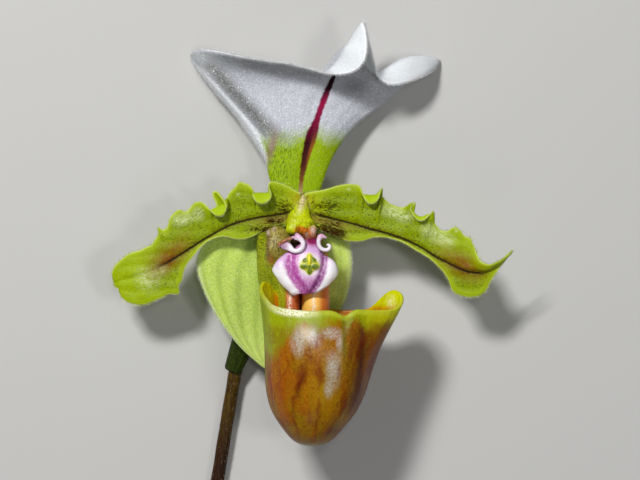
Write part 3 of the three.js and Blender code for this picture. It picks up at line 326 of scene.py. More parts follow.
# Column: the hairy nose, the body behind the shield, the stigma under it and the anthers, as
# (centre, radii, tilt in radians).
COLUMN_PARTS = [
    ((0.1, 0.9, -0.6), (0.95, 1.5, 0.8), -0.2),
    ((-0.2, -0.3, -0.2), (1.4, 1.5, 1.0), -0.3),
    ((-0.6, -1.4, 0.2), (1.95, 1.4, 1.05), -0.35),
    ((-1.0, -2.3, 0.6), (1.9, 1.2, 1.05), -0.4),
    ((0.2, -2.5, 0.9), (1.8, 1.2, 1.2), -0.4),
    ((0.4, -3.8, 2.3), (1.55, 1.4, 1.5), -0.5),
    ((0.8, -4.7, 3.3), (1.4, 1.6, 1.6), -0.5),
    ((1.0, -5.5, 3.6), (1.4, 1.8, 1.4), -0.5),
    ((0.9, -7.7, 4.1), (2.0, 2.1, 0.75), 0),
    ((-1.6, -3.5, 0.9), (1.3, 1.2, 0.9), 0),
    ((-1.0, -5.3, 1.7), (1.0, 0.8, 0.8), 0),
    ((1.75, -3.75, 3.9), (0.62, 1.15, 0.75), 0),
    ((2.6, -5.3, 2.4), (0.9, 0.8, 0.8), 0),
]

# Ovary, from the receptacle down to the node: (x, y, z, radius).
OVARY = [
    (-0.7, -1.6, -5.0, 1.3), (-1.7, -4.6, -5.9, 1.45), (-4.1, -10.2, -6.5, 1.75), (-6.6, -15.8, -6.9, 1.8),
    (-9.1, -21.2, -7.3, 1.5), (-11.1, -26.0, -7.7, 0.95),
]
RECEPTACLE = ((-0.5, -0.6, -4.7), (2.6, 2.6, 1.2), 0)
OVARY_RIBS = 6
OVARY_RIB_HEIGHT = 0.06  # share of the radius
STEM = [(-11.24, -26.3, -7.72), (-14.4, -45.6, -8.2), (-16.6, -62.0, -8.5), (-17.4, -80.0, -8.75)]
STEM_RADIUS = 1.1
# Bract, a sheath on the ovary's outer side: reach and foot, the stretch on the stem, are shares of the
# ovary's length, middle and half_angle are angles round it.
BRACT = {"reach": 0.42, "foot": 0.06, "middle": 2.1, "half_angle": 1.45, "taper": 0.97,
         "clear": 0.35, "flare": 0.1}
BRACT_RIBS = 40
HAIR_CLEARANCE = 0.05  # between the stalk hairs and the surface that it lies on


def srgb(red, green, blue):
    """A linear colour from 8-bit display values."""
    def linear(value):
        value /= 255
        return value / 12.92 if value <= 0.04045 else ((value + 0.055) / 1.055) ** 2.4
    return (linear(red), linear(green), linear(blue), 1.0)


# ---- Settings a user would change ------------------------------------------------------------


def length(name, description, millimetres):
    return FloatProperty(name=name, description=description, default=millimetres * MM, min=0,
                         unit="LENGTH", precision=5)


def colour(name, description, value):
    return FloatVectorProperty(name=name, description=description, default=value, size=4, min=0, max=1,
                               subtype="COLOR")


class OrchidSizes(bpy.types.PropertyGroup):
    """Thicknesses and hair lengths of the bloom"""

    sepal: length("Sepals", "Thickness of the dorsal sepal and the synsepal", 0.5)
    petal: length("Petals", "Thickness of the two petals", 0.45)
    lip: length("Lip wall", "Thickness of the pouch and its side lobes", 0.65)
    shield: length("Shield", "Thickness of the staminode", 0.7)
    bract: length("Bract", "Thickness of the bract", 0.5)
    down: length("Down", "Length of the short hairs on the sepals", 0.32)
    fringe: length("Fringe", "Length of the hairs along the sepals' margins", 0.6)
    beard: length("Beard", "Length of the dark hairs at the petals' bases", 1.1)
    stem_hair: length("Stem hairs", "Length of the hairs on the stem and the ovary", 0.55)
    seed: IntProperty(name="Seed", description="Start of every random draw", default=11, min=0)


class OrchidColours(bpy.types.PropertyGroup):
    """Colours of the bloom"""

    white: colour("Sepal white", "Blade of the dorsal sepal", srgb(202, 204, 211))
    foot: colour("Sepal foot", "Green foot of the dorsal sepal", srgb(150, 178, 0))
    vein: colour("Midvein", "Dark line along the middle of the dorsal sepal", srgb(112, 2, 46))
    petal: colour("Petals", "Ground colour of the petals", srgb(154, 176, 0))
    petal_vein: colour("Petal midvein", "Line along the middle of each petal", srgb(34, 22, 0))
    synsepal: colour("Synsepal", "Fused lower sepals", srgb(204, 226, 104))
    pouch: colour("Pouch", "Brown of the lip's pouch", srgb(158, 88, 0))
    pouch_green: colour("Pouch rim", "Yellow-green of the lip's rim", srgb(156, 172, 0))
    lobes: colour("Side lobes", "Orange of the lip's infolded lobes", srgb(255, 194, 76))
    shield: colour("Shield", "Pale ground of the staminode", srgb(240, 214, 242))
    shield_band: colour("Shield bands", "Purple bands of the staminode", srgb(132, 26, 118))
    boss: colour("Boss", "Green knob of the staminode", srgb(160, 172, 34))
    nose: colour("Nose", "Yellow-green top of the column", srgb(208, 220, 8))
    ovary: colour("Ovary", "Ovary and receptacle", srgb(96, 112, 48))
    bract: colour("Bract", "Sheath at the node", srgb(42, 54, 2))
    stem: colour("Stem", "Flower stalk", srgb(48, 23, 4))
    floor: colour("Floor", "Surface that the bloom lies on", srgb(200, 199, 196))


# ---- Curves, sheets and rings ----------------------------------------------------------------

SIDE_JUMP = 3  # millimetres; a longer step along a margin is the jump from one side to the next
HAIR_RINGS = ((-0.06, 1.0, 0.0), (0.55, 0.75, 0.3))  # shares of the length, the radius and the bend
HAIR_FACES = [(0, 2, 1), (0, 1, 4, 3), (1, 2, 5, 4), (2, 0, 3, 5), (3, 4, 6), (4, 5, 6), (5, 3, 6)]
HAIR_POINTS = 7


def evenly(count):
    return np.linspace(0, 1, count)


def denser_at_ends(count, pull=0.82):
    """Shares from 0 to 1 that lie closer together near both ends."""
    return (1 - pull) * evenly(count) + pull * (1 - np.cos(math.pi * evenly(count))) / 2


def spline(knots, values, at):
    """Natural cubic spline through values at rising knots, read at the given places."""
    knots, values, at = (np.asarray(x, float) for x in (knots, values, at))
    count, gaps = len(knots), np.diff(knots)
    system, target = np.eye(count), np.zeros(values.shape)
    for i in range(1, count - 1):
        system[i, i - 1:i + 2] = gaps[i - 1], 2 * (gaps[i - 1] + gaps[i]), gaps[i]
        target[i] = 6 * ((values[i + 1] - values[i]) / gaps[i] - (values[i] - values[i - 1]) / gaps[i - 1])
    bend = np.linalg.solve(system, target.reshape(count, -1)).reshape(values.shape)
    k = np.clip(np.searchsorted(knots, at) - 1, 0, count - 2)
    shape = at.shape + (1,) * (values.ndim - 1)
    gap = gaps[k].reshape(shape)
    b = ((at - knots[k]) / gaps[k]).reshape(shape)
    a = 1 - b
    cubic = ((a**3 - a) * bend[k] + (b**3 - b) * bend[k + 1]) * gap**2 / 6
    return a * values[k] + b * values[k + 1] + cubic


def tracks(table, at):
    """The columns of an evenly spaced table, each read smoothly at the given shares."""
    return np.moveaxis(spline(evenly(len(table)), table, at), -1, 0)


def smoothstep(low, high, value):
    t = np.clip((value - low) / (high - low), 0, 1)
    return t * t * (3 - 2 * t)


def bell(distance):
    """1 at no distance, falling to nothing by about 2."""
    return np.exp(-distance**2)


def unit(vectors):
    return vectors / np.maximum(np.linalg.norm(vectors, axis=-1, keepdims=True), 1e-12)


class Sheet:
    """A curved sheet of tissue: a grid of points in millimetres, its rows running from base to tip and its
    columns across, with the shares of the way along and across that they stand for."""

    def __init__(self, grid, along, across, midvein=0.5, facing=1):
        self.grid, self.v, self.u, self.facing, self.midvein = grid, along, across, facing, midvein
        self.measure()

    def measure(self):
        """Normals, and distances in millimetres from the midvein and from the nearest margin."""
        rows, columns = np.gradient(self.grid, axis=0), np.gradient(self.grid, axis=1)
        self.normals = unit(np.cross(columns, rows)) * self.facing
        run, rise = self._lengths(1), self._lengths(0)
        middle = np.array([np.interp(self.midvein, self.u, row) for row in run])
        self.across = run - middle[:, None]
        self.along = rise
        self.edge = np.minimum(np.minimum(run, run[:, -1:] - run), np.minimum(rise, rise[-1:] - rise))

    def _lengths(self, axis):
        steps = np.linalg.norm(np.diff(self.grid, axis=axis), axis=2)
        return np.insert(np.cumsum(steps, axis=axis), 0, 0, axis=axis)

    def raise_by(self, relief):
        """Moves the sheet along its normals by so many millimetres."""
        self.grid = self.grid + self.normals * relief[..., None]
        self.measure()

    def solid(self, thickness, taper=0.7):
        """Closed mesh with rounded margins: vertices, faces and point attributes."""
        rows, columns = self.edge.shape
        half = thickness / 2 * np.sqrt(np.clip(self.edge / taper, 0, 1))
        offset = self.normals * half[..., None]
        inner = np.ones((rows, columns), bool)
        inner[[0, -1], :] = inner[:, [0, -1]] = False
        front = np.arange(rows * columns).reshape(rows, columns)
        back = front.copy()
        back[inner] = rows * columns + np.arange(inner.sum())
        vertices = np.concatenate([(self.grid + offset).reshape(-1, 3), (self.grid - offset)[inner]])
        faces = np.concatenate([quads(front), quads(back)[:, ::-1]])
        v, u = np.meshgrid(self.v, self.u, indexing="ij")
        place = np.stack([u, v, inner.astype(float)], -1)
        reach = np.stack([self.across, self.edge, self.along], -1)
        flipped = place[inner] * (1, 1, -1)
        attributes = {
            "place": np.concatenate([place.reshape(-1, 3), flipped]),
            "reach": np.concatenate([reach.reshape(-1, 3), reach[inner]]),
        }
        return vertices, faces, attributes

    def scatter(self, count, draw, weight=None):
        """Random roots spread by area times weight: points, normals and directions along the sheet."""
        a, b = self.grid[:-1, :-1], self.grid[1:, 1:]
        c, d = self.grid[1:, :-1], self.grid[:-1, 1:]
        chance = np.linalg.norm(np.cross(b - a, c - d), axis=2)
        if weight is not None:
            chance = chance * weight[:-1, :-1]
        chance = chance.ravel() / chance.sum()
        cells = draw.choice(len(chance), count, p=chance)
        i, j = np.divmod(cells, self.grid.shape[1] - 1)
        s, t = draw.random((2, count, 1))
        points = (1 - s) * ((1 - t) * self.grid[i, j] + t * self.grid[i, j + 1])
        points += s * ((1 - t) * self.grid[i + 1, j] + t * self.grid[i + 1, j + 1])
        return points, self.normals[i, j], unit(self.grid[i + 1, j] - self.grid[i, j])

    def margin(self, count, draw):
        """Random roots along the margins: points, outward directions and normals."""
        lines = [  # left side, tip and right side, each as rim, a line further in, and normals
            (self.grid[:, 0], self.grid[:, 6], self.normals[:, 4]),
            (self.grid[-1], self.grid[-7], self.normals[-5]),
            (self.grid[:, -1], self.grid[:, -7], self.normals[:, -5]),
        ]
        rims, inners, normals = (np.concatenate(parts) for parts in zip(*lines))
        steps = np.linalg.norm(np.diff(rims, axis=0), axis=1)
        steps[steps > SIDE_JUMP] = 0
        k = draw.choice(len(steps), count, p=steps / steps.sum())
        t = draw.random((count, 1))
        points = (1 - t) * rims[k] + t * rims[k + 1]
        return points, unit(rims[k] - inners[k]), normals[k]


def quads(index):
    """Faces between the neighbours in a grid of vertex numbers."""
    return np.stack([index[:-1, :-1], index[:-1, 1:], index[1:, 1:], index[1:, :-1]], -1).reshape(-1, 4)


def from_net(net, rows, columns, midvein=0.5, facing=1):
    """Sheet through a net of points, smooth both ways."""
    along, across = denser_at_ends(rows), denser_at_ends(columns)
    net = np.array(net, float)
    lines = spline(evenly(net.shape[1]), net.transpose(1, 0, 2), across)
    grid = spline(evenly(net.shape[0]), lines.transpose(1, 0, 2), along)
    return Sheet(grid, along, across, midvein, facing)


def rings_solid(rings):
    """Closed mesh through rings of points, with a point in the middle of the first and the last."""
    count, sides, _ = rings.shape
    points = np.concatenate([rings.reshape(-1, 3), [rings[0].mean(0)], [rings[-1].mean(0)]])
    index = np.arange(count * sides).reshape(count, sides)
    around = np.concatenate([index, index[:, :1]], axis=1)
    faces = [tuple(f) for f in quads(around)]
    first, last = count * sides, count * sides + 1
    faces += [(first, around[0, i + 1], around[0, i]) for i in range(sides)]
    faces += [(last, around[-1, i], around[-1, i + 1]) for i in range(sides)]
    return outward(points, faces)


def outward(points, faces):
    """The same faces, turned round if they look inwards."""
    volume = sum(np.dot(points[f[0]], np.cross(points[f[k]], points[f[k + 1]]))
                 for f in faces for k in range(1, len(f) - 1))
    return points, faces if volume > 0 else [tuple(reversed(f)) for f in faces]


def spikes(points, directions, lengths, radius, bend, draw):
    """Closed three-sided hairs, bent sideways by a share of their length."""
    count = len(points)
    directions = unit(directions)
    sideways = unit(np.cross(directions, draw.normal(size=(count, 3))))
    other = np.cross(directions, sideways)
    lengths = np.asarray(lengths).reshape(-1, 1)
    turns = [2 * math.pi * k / 3 for k in range(3)]
    lean = sideways * bend * lengths
    rings = []
    for share, wide, shift in HAIR_RINGS:
        middle = points + directions * lengths * share + lean * shift
        rings += [middle + radius * wide * (sideways * math.cos(t) + other * math.sin(t)) for t in turns]
    tip = points + directions * lengths + lean
    vertices = np.stack([*rings, tip], axis=1).reshape(-1, 3)
    return vertices, [tuple(HAIR_POINTS * k + c for c in face) for k in range(count) for face in HAIR_FACES]


# ---- Making pieces ---------------------------------------------------------------------------


def add_piece(name, shape, material, replaces=()):
    """Adds a closed mesh, given in millimetres from the flower's centre, as a piece of the bloom."""
    vertices, faces, *rest = shape
    mesh = bpy.data.meshes.new(name)
    placed = (np.asarray(vertices) + FLOWER_CENTRE) * MM
    mesh.from_pydata(placed.tolist(), [], faces.tolist() if isinstance(faces, np.ndarray) else faces)
    for key, values in (rest[0] if rest else {}).items():
        attribute = mesh.attributes.new(key, "FLOAT_VECTOR", "POINT")
        attribute.data.foreach_set("vector", np.asarray(values, np.float32).ravel())
    mesh.polygons.foreach_set("use_smooth", [True] * len(mesh.polygons))
    mesh.update()
    if not mesh.polygons:
        raise RuntimeError(f"{name} has no faces")
    mesh.materials.append(material)
    piece = bpy.data.objects.new(name, mesh)
    bpy.context.scene.collection.objects.link(piece)
    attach(piece, BODY)
    if replaces:
        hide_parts(*replaces)
    return piece


def fused(name, ellipsoids, voxel, smoothing):
    """One smooth body through several ellipsoids: vertices in millimetres, faces and normals."""
    work = bmesh.new()
    for centre, radii, tilt in ellipsoids:
        place = Matrix.Translation(Vector(centre)) @ Matrix.Rotation(tilt, 4, "X")
        place = place @ Matrix.Diagonal((*radii, 1))
        bmesh.ops.create_icosphere(work, subdivisions=5, radius=1, matrix=place)
    mesh = bpy.data.meshes.new(name + "_rough")
    work.to_mesh(mesh)
    work.free()
    rough = bpy.data.objects.new(name + "_rough", mesh)
    bpy.context.scene.collection.objects.link(rough)
    remesh = rough.modifiers.new("Remesh", "REMESH")
    remesh.mode, remesh.voxel_size = "VOXEL", voxel
    smooth = rough.modifiers.new("Smooth", "SMOOTH")
    smooth.factor, smooth.iterations = 0.5, smoothing
    evaluated = rough.evaluated_get(bpy.context.evaluated_depsgraph_get()).data
    vertices = np.array([v.co for v in evaluated.vertices])
    faces = [tuple(p.vertices) for p in evaluated.polygons]
    normals = np.array([v.normal for v in evaluated.vertices])
    bpy.data.objects.remove(rough)
    bpy.data.meshes.remove(mesh)
    return vertices, faces, normals


# ---- Shader maths ----------------------------------------------------------------------------


class Wire:
    """A value in a material. Sums and products of wires add their Math nodes."""

    def __init__(self, paint, socket):
        self.paint, self.socket = paint, socket

    def _math(self, operation, first, second=0.0):
        return self.paint.node("Math", {"operation": operation}, {0: first, 1: second})

    def __add__(self, other):
        return self._math("ADD", self, other)

    __radd__ = __add__

    def __mul__(self, other):
        return self._math("MULTIPLY", self, other)

    __rmul__ = __mul__

    def __sub__(self, other):
        return self._math("SUBTRACT", self, other)

    def __rsub__(self, other):
        return self._math("SUBTRACT", other, self)

    def __truediv__(self, other):
        return self._math("DIVIDE", self, other)

    def __pow__(self, other):
        return self._math("POWER", self, other)

    def __abs__(self):
        return self._math("ABSOLUTE", self)

    def sine(self):
        return self._math("SINE", self)

    def most(self, other):
        return self._math("MAXIMUM", self, other)

    def least(self, other):
        return self._math("MINIMUM", self, other)


class Paint:
    """One material: its constants sit on the shader's own sockets, and what varies is wired in."""

    def __init__(self, name, **constants):
        self.material = bpy.data.materials.new(name)
        self.material.use_nodes = True
        self.tree = self.material.node_tree
        self.shader = self.tree.nodes["Principled BSDF"]
        for key, value in constants.items():
            self.shader.inputs[self._socket(key)].default_value = value

    @staticmethod
    def _socket(key):
        return key.replace("_", " ").title().replace("Ior", "IOR")

    def node(self, kind, settings=None, inputs=None, output=0):
        """Adds a node: its settings first, then the values or wires of its sockets."""
        made = self.tree.nodes.new("ShaderNode" + kind)
        for key, value in (settings or {}).items():
            if key == "stops":
                self._set_stops(made.color_ramp, value)
            else:
                setattr(made, key, value)
        for key, value in (inputs or {}).items():
            if isinstance(value, Wire):
                self.tree.links.new(value.socket, made.inputs[key])
            else:
                made.inputs[key].default_value = value
        return Wire(self, made.outputs[output])

    @staticmethod
    def _set_stops(ramp, stops):
        while len(ramp.elements) < len(stops):
            ramp.elements.new(0.5)
        for element, (position, value) in zip(ramp.elements, stops):
            element.position = position
            element.color = value if isinstance(value, tuple) else (value, value, value, 1)

    def split(self, vector):
        return [self.node("SeparateXYZ", None, {0: vector}, k) for k in range(3)]

    def attribute(self, name):
        settings = {"attribute_type": "GEOMETRY", "attribute_name": name}
        return self.split(self.node("Attribute", settings, None, "Vector"))

    def flower(self):
        """Place in millimetres from the flower's centre."""
        place = self.node("TexCoord", None, None, "Object")
        scaled = self.node("VectorMath", {"operation": "SCALE"}, {0: place, "Scale": 1 / MM})
        return self.node("VectorMath", {"operation": "SUBTRACT"}, {0: scaled, 1: FLOWER_CENTRE})

    def vector(self, x, y, z=0.0):
        return self.node("CombineXYZ", None, {0: x, 1: y, 2: z})

    def smooth(self, low, high, value):
        """0 below low, 1 above high."""
        return self.node("MapRange", {"interpolation_type": "SMOOTHSTEP"},
                         {"Value": value, "From Min": low, "From Max": high})

    def fade(self, low, high, value):
        """1 below low, 0 above high."""
        return 1 - self.smooth(low, high, value)

    def near(self, value, middle, reach):
        """1 at the middle, falling to 0 at the reach on both sides."""
        return self.fade(0, reach, abs(value - middle))

    def distance(self, first, second):
        return self.node("VectorMath", {"operation": "DISTANCE"}, {0: first, 1: second}, "Value")

    def mix(self, factor, first, second):
        return self.node("Mix", {"data_type": "RGBA"}, {0: factor, 6: first, 7: second}, 2)

    def coats(self, colour, *layers):
        """The colour under layers, each a mask and then a colour or its three 8-bit values."""
        for mask, *over in layers:
            colour = self.mix(mask, colour, srgb(*over) if len(over) == 3 else over[0])
        return colour

    def curve(self, value, stops):
        return self.node("ValToRGB", {"stops": stops}, {0: value})

    def follow(self, value, table):
        """A number that runs straight between the (place, number) pairs of a table."""
        places, numbers = zip(*table)
        low, span = min(numbers), max(numbers) - min(numbers)
        stops = [((a - places[0]) / (places[-1] - places[0]), (b - low) / span) for a, b in table]
        return self.curve((value - places[0]) / (places[-1] - places[0]), stops) * span + low

    def noise(self, vector, scale, detail=2.0, rough=0.5):
        return self.node("TexNoise", None,
                         {"Vector": vector, "Scale": scale, "Detail": detail, "Roughness": rough})

    def cells(self, vector, scale):
        """Distance from the nearest of randomly spread points."""
        return self.node("TexVoronoi", None, {"Vector": vector, "Scale": scale}, "Distance")

    def glints(self, vector, scale, share):
        """Painted glints: small bright specks of painted highlight, fewer where a slow noise is low."""
        clumps = self.smooth(share - 0.12, share + 0.12, self.noise(vector, scale * 0.3, 3, 0.7))
        return self.fade(0.16, 0.34, self.cells(vector, scale)) * clumps

    def bump(self, *layers):
        """Normal from several heights in millimetres, each with its strength."""
        normal = None
        for height, strength in layers:
            inputs = {"Height": height, "Strength": strength, "Distance": MM}
            if normal is not None:
                inputs["Normal"] = normal
            normal = self.node("Bump", None, inputs)
        return normal

    def finish(self, **wires):
        for key, wire in wires.items():
            self.tree.links.new(wire.socket, self.shader.inputs[self._socket(key)])
        return self.material


# ---- Materials -------------------------------------------------------------------------------


def dorsal_material(colours):
    """Velvety white with a green foot, a maroon midvein and faint veins, with painted shade under the rim,
    beside the ridge and below the hood, and painted highlights and glints.
    """
    p = Paint("downy_white_sepal", specular_ior_level=0.12)
    u, v, _ = p.attribute("place")
    across, edge, along = p.attribute("reach")
    flower = p.flower()
    x, y, _ = p.split(flower)
    cloud = p.noise(flower, 0.35, 3)
    grain = p.noise(flower, 3.0, 2)
    frost = p.noise(flower, 3.4, 3, 0.75)
    patches = p.smooth(0.25, 0.6, p.noise(p.vector(u * 30, v * 3), 1.0))
    veins = p.near((u * DORSAL_VEINS).sine(), 1, 0.5) * patches
    # painted highlight: the hood's tip is painted near-white as if lit, and the mask after it keeps the
    # painted shades off it
    hood = p.smooth(0.84, 0.9, v) * p.smooth(3.0, 5.0, x)
    outside_hood_highlight = 1 - hood
    rim_shade = p.smooth(0.7, 0.9, v) * p.smooth(0.5, 1.6, edge) * p.fade(4.5, 6.0, edge)
    beside_ridge = x + y * 0.92 - 4.2
    wall_shade = p.near(beside_ridge, 2.1, 3.2) * p.smooth(9.5, 12.5, y) * p.fade(23.5, 25.5, y)
    hood_shade = p.near(x, 8.6, 4.6) * p.near(y, 20.4, 2.6) * p.smooth(0.6, 1.2, edge)
    # white blade with painted shade under the rim, on the wall beside the ridge and below the hood, and
    # painted highlights on the hood's tip and on the strip left of the ridge
    white_with_painted_light = p.coats(
        tuple(colours.white),
        (veins * 0.14, 176, 180, 186),
        (p.smooth(0.45, 0.75, cloud) * 0.25, 196, 196, 206),
        (rim_shade * outside_hood_highlight * p.fade(5.0, 8.0, across) * 0.5, 140, 143, 136),
        (wall_shade * 0.95, 116, 116, 108),
        (hood_shade * outside_hood_highlight * 0.6, 96, 98, 94),
        # painted highlight on the hood's tip
        (hood * 0.95, 240, 244, 246),
        # painted highlight on the strip left of the ridge, which faces the light
        (p.fade(-0.2, 0.5, beside_ridge) * 0.95, 240, 242, 245),
    )
    blade = p.coats(
        p.mix(p.smooth(0.38, 0.6, frost).most(hood * 0.7), p.mix(0.4, white_with_painted_light, srgb(128, 132, 144)), white_with_painted_light),
        # painted glints: bright specks of painted highlight, with fainter ones in the painted wall shade
        (p.glints(flower, 3.1, 0.5) * 0.8, 254, 254, 255),
        (p.glints(flower, 2.6, 0.42) * wall_shade * 0.6, 220, 222, 224),
        # painted highlight along the margins, where their edges catch the light
        (p.fade(0.1, 0.45, edge) * 0.85, 252, 253, 254),
    )
    left = p.fade(-2.0, 0.0, across)
    margins = p.fade(0, 2.6, edge) * (1 - left) * 3.0 + left * p.fade(1.8, 2.8, edge) * 5.5
    ragged = (cloud - 0.5) * 3 + (frost - 0.5) * 3
    foot = p.fade(9.6, 13.6, y + ragged + margins + p.near(across, 0, 4) * -1.2)
    streak = p.noise(p.vector(across * 5.5, along * 1.1), 1.0, 3, 0.7)
    speckle = p.smooth(0.46, 0.6, streak) * (p.near(across, -4.0, 5.0) * 0.7 + 0.3)
    wall = p.near(across, -6.2, 1.3) * p.near(y, 10.5, 5)
    leaf = p.coats(
        tuple(colours.foot),
        (speckle * 0.75, 66, 90, 0),
        # painted glints on the green foot
        (p.glints(flower, 2.9, 0.5) * 0.5, 214, 228, 110),
        (wall * 0.7, 120, 84, 66),
    )
    body = p.coats(p.mix(foot, blade, leaf), (wall * 0.4, 150, 118, 122))
    width = p.curve(y / 30, [(0.0, 0.3), (0.13, 0.42), (0.21, 0.6), (0.29, 0.85), (0.38, 1.08), (0.43, 1.0),
                             (0.5, 0.62), (0.63, 0.66), (0.73, 0.56), (0.85, 0.4)])
    wobble = (p.noise(p.vector(across * 0.5, along * 1.6), 1.0, 2) - 0.5) * 0.35
    line = p.fade(-0.2, 0.16, abs(across + wobble) - width + (frost - 0.5) * 0.3) * p.fade(0.9, 0.94, v)
    dark = p.curve(y / 30, [(0.08, srgb(170, 150, 100)), (0.15, srgb(120, 70, 26)), (0.24, srgb(66, 20, 6)),
                            (0.36, srgb(56, 4, 8)), (0.46, tuple(colours.vein)), (0.58, srgb(142, 0, 62)),
                            (0.66, srgb(40, 2, 18)), (0.78, srgb(20, 2, 10))])
    warm = p.smooth(0.1, 0.6, across) * p.near(y, 9.5, 4.2)
    body = p.mix(line, body, p.coats(dark, (warm * 0.8, 150, 84, 22)))
    return p.finish(base_color=body, roughness=0.62 - p.smooth(0.5, 0.7, grain) * 0.22,
                    normal=p.bump((frost, 0.22), (veins, -0.03)))


def synsepal_material(colours):
    """Pale green with soft ribs, whitish down and painted glints."""
    p = Paint("downy_pale_green", subsurface_weight=0.04, subsurface_scale=0.0005, specular_ior_level=0.2)
    u, v, _ = p.attribute("place")
    _, edge, _ = p.attribute("reach")
    flower = p.flower()
    ribs = p.near((u * SYNSEPAL_RIBS).sine(), 1, 0.9)
    grain = p.noise(flower, 3.2, 3, 0.75)
    body = p.coats(
        tuple(colours.synsepal),
        (ribs * 0.35, 156, 186, 58),
        (p.smooth(0.42, 0.72, p.noise(flower, 0.3, 3)) * 0.45, 190, 212, 104),
        (p.fade(0.38, 0.56, grain) * 0.35, 120, 150, 30),
        # painted glints
        (p.glints(flower, 3.0, 0.5) * 0.55, 232, 240, 196),
        (p.fade(0.1, 1.1, edge) * 0.45, 212, 222, 170),
        (p.fade(0.0, 0.25, v) * 0.6, 112, 138, 30),
        (p.smooth(0.62, 0.85, v) * 0.4, 226, 244, 136),
    )
    return p.finish(base_color=body, roughness=0.5 - p.smooth(0.55, 0.75, grain) * 0.15,
                    normal=p.bump((grain, 0.2), (ribs, 0.02)))


def petal_material(name, colours, side):
    """Waxy yellow-green with fine dark speckles, a dark midvein and a brown flush around it, with painted
    sheen, painted glints and a painted shadow near the base.
    """
    p = Paint(name, specular_ior_level=0.15)
    _, _, face = p.attribute("place")
    across, edge, along = p.attribute("reach")
    flower = p.flower()
    x, y, _ = p.split(flower)
    left = side < 0
    out = x * side
    grain = p.noise(flower, 3.0, 3, 0.75)
    rows = p.noise(p.vector(across * 3.4, along * 2.2), 1.0, 4, 0.7)
    inside = p.smooth(0.4, 1.8, edge)
    fine = p.cells(p.vector(across * 2.9, along * 2.3), 1.0)
    speckle = p.fade(0.18, 0.36, fine) * p.smooth(0.36, 0.56, rows)
    tip = p.smooth(23.0, 27.0, out) if left else p.smooth(20.0, 24.0, out) * p.smooth(-9.0, -5.0, y)
    base = p.fade(1.5, 5.0, (x ** 2 + (y + 0.5) ** 2) ** 0.5)
    rust = p.near(x, -0.3, 2.6) * p.near(y, 1.6, 1.8) * p.smooth(0.35, 0.6, rows)
    # painted sheen: whitish patches of painted highlight, which are also less rough
    painted_sheen = 0
    for centre_x, centre_y, reach in PETAL_SHEEN["left" if left else "right"]:
        away = p.distance(p.vector(x, y), (centre_x, centre_y, 0))
        painted_sheen = p.fade(0, reach, away) + painted_sheen
    painted_sheen = painted_sheen.least(1)
    frost = p.noise(p.vector(across * 2.8, along * 1.5), 1.0, 4, 0.85)
    strip = p.near(across, -0.9, 1.1) * p.fade(5.0, 10.0, out)
    # painted shadow: dark brown below the midvein near the base
    painted_base_shadow = p.smooth(1.2, 2.2, across * -1) * p.smooth(2.0, 3.4, out) * p.fade(6.0, 8.5, out)
    flush = p.near(across, 0.5, 3.3) * (p.near(out, 22.0, 5.5) if left else p.near(out, 26.5, 6.5))
    ragged = p.smooth(0.25, 0.6, p.noise(p.vector(across * 0.9, along * 0.4), 1.0, 4, 0.65))
    wobble = (p.noise(p.vector(along * 1.2, across * 0.4), 1.0, 2) - 0.5) * 0.3
    vein_end = p.fade(21.5, 25.5, out) if left else p.fade(28.5, 31.5, out)
    line = p.fade(0.1, 0.36, abs(across + wobble) + (rows - 0.5) * 0.2) * p.smooth(0.5, 3.0, out) * vein_end
    halo = p.fade(0.2, 1.0, abs(across)) * p.smooth(0.35, 0.6, rows) * vein_end
    rim = p.fade(0.08, 0.3, edge)
    underside = p.fade(-0.6, 0.2, face)
    body = p.coats(
        tuple(colours.petal),
        (p.smooth(0.35, 0.7, p.noise(flower, 0.35, 3)) * 0.5, 168, 190, 0),
        (inside * 0.4, 116, 136, 0),
        (speckle * (inside * 0.8 + 0.1), 40, 52, 0),
        (p.fade(0.36, 0.54, grain) * inside * 0.45, 84, 102, 0),
        # painted glints
        (p.glints(flower, 3.0, 0.52) * 0.35, 208, 222, 96),
        (tip * inside * 0.4, 188, 212, 16),
        (base * 0.65, 190, 204, 12),
        (rust * 0.7, 170, 96, 10),
        (painted_sheen * (p.smooth(0.42, 0.6, frost) * 0.62 + 0.08), 226, 236, 176),
        (strip * 0.85, 134, 112, 22),
        (painted_base_shadow * 0.7, 84, 46, 14),
        (flush * (ragged * 0.55 + 0.45), 134, 78, 0),
        (halo * 0.7, 84, 50, 0),
        (line * 0.95, tuple(colours.petal_vein)),
        (rim * 0.75, 206, 222, 96),
        (underside * (1 - rim) * 0.7, 176, 204, 8),
    )
    return p.finish(base_color=body, roughness=0.36 - painted_sheen * 0.1 + line * 0.4,
                    normal=p.bump((grain, 0.24), (line, -0.05)))


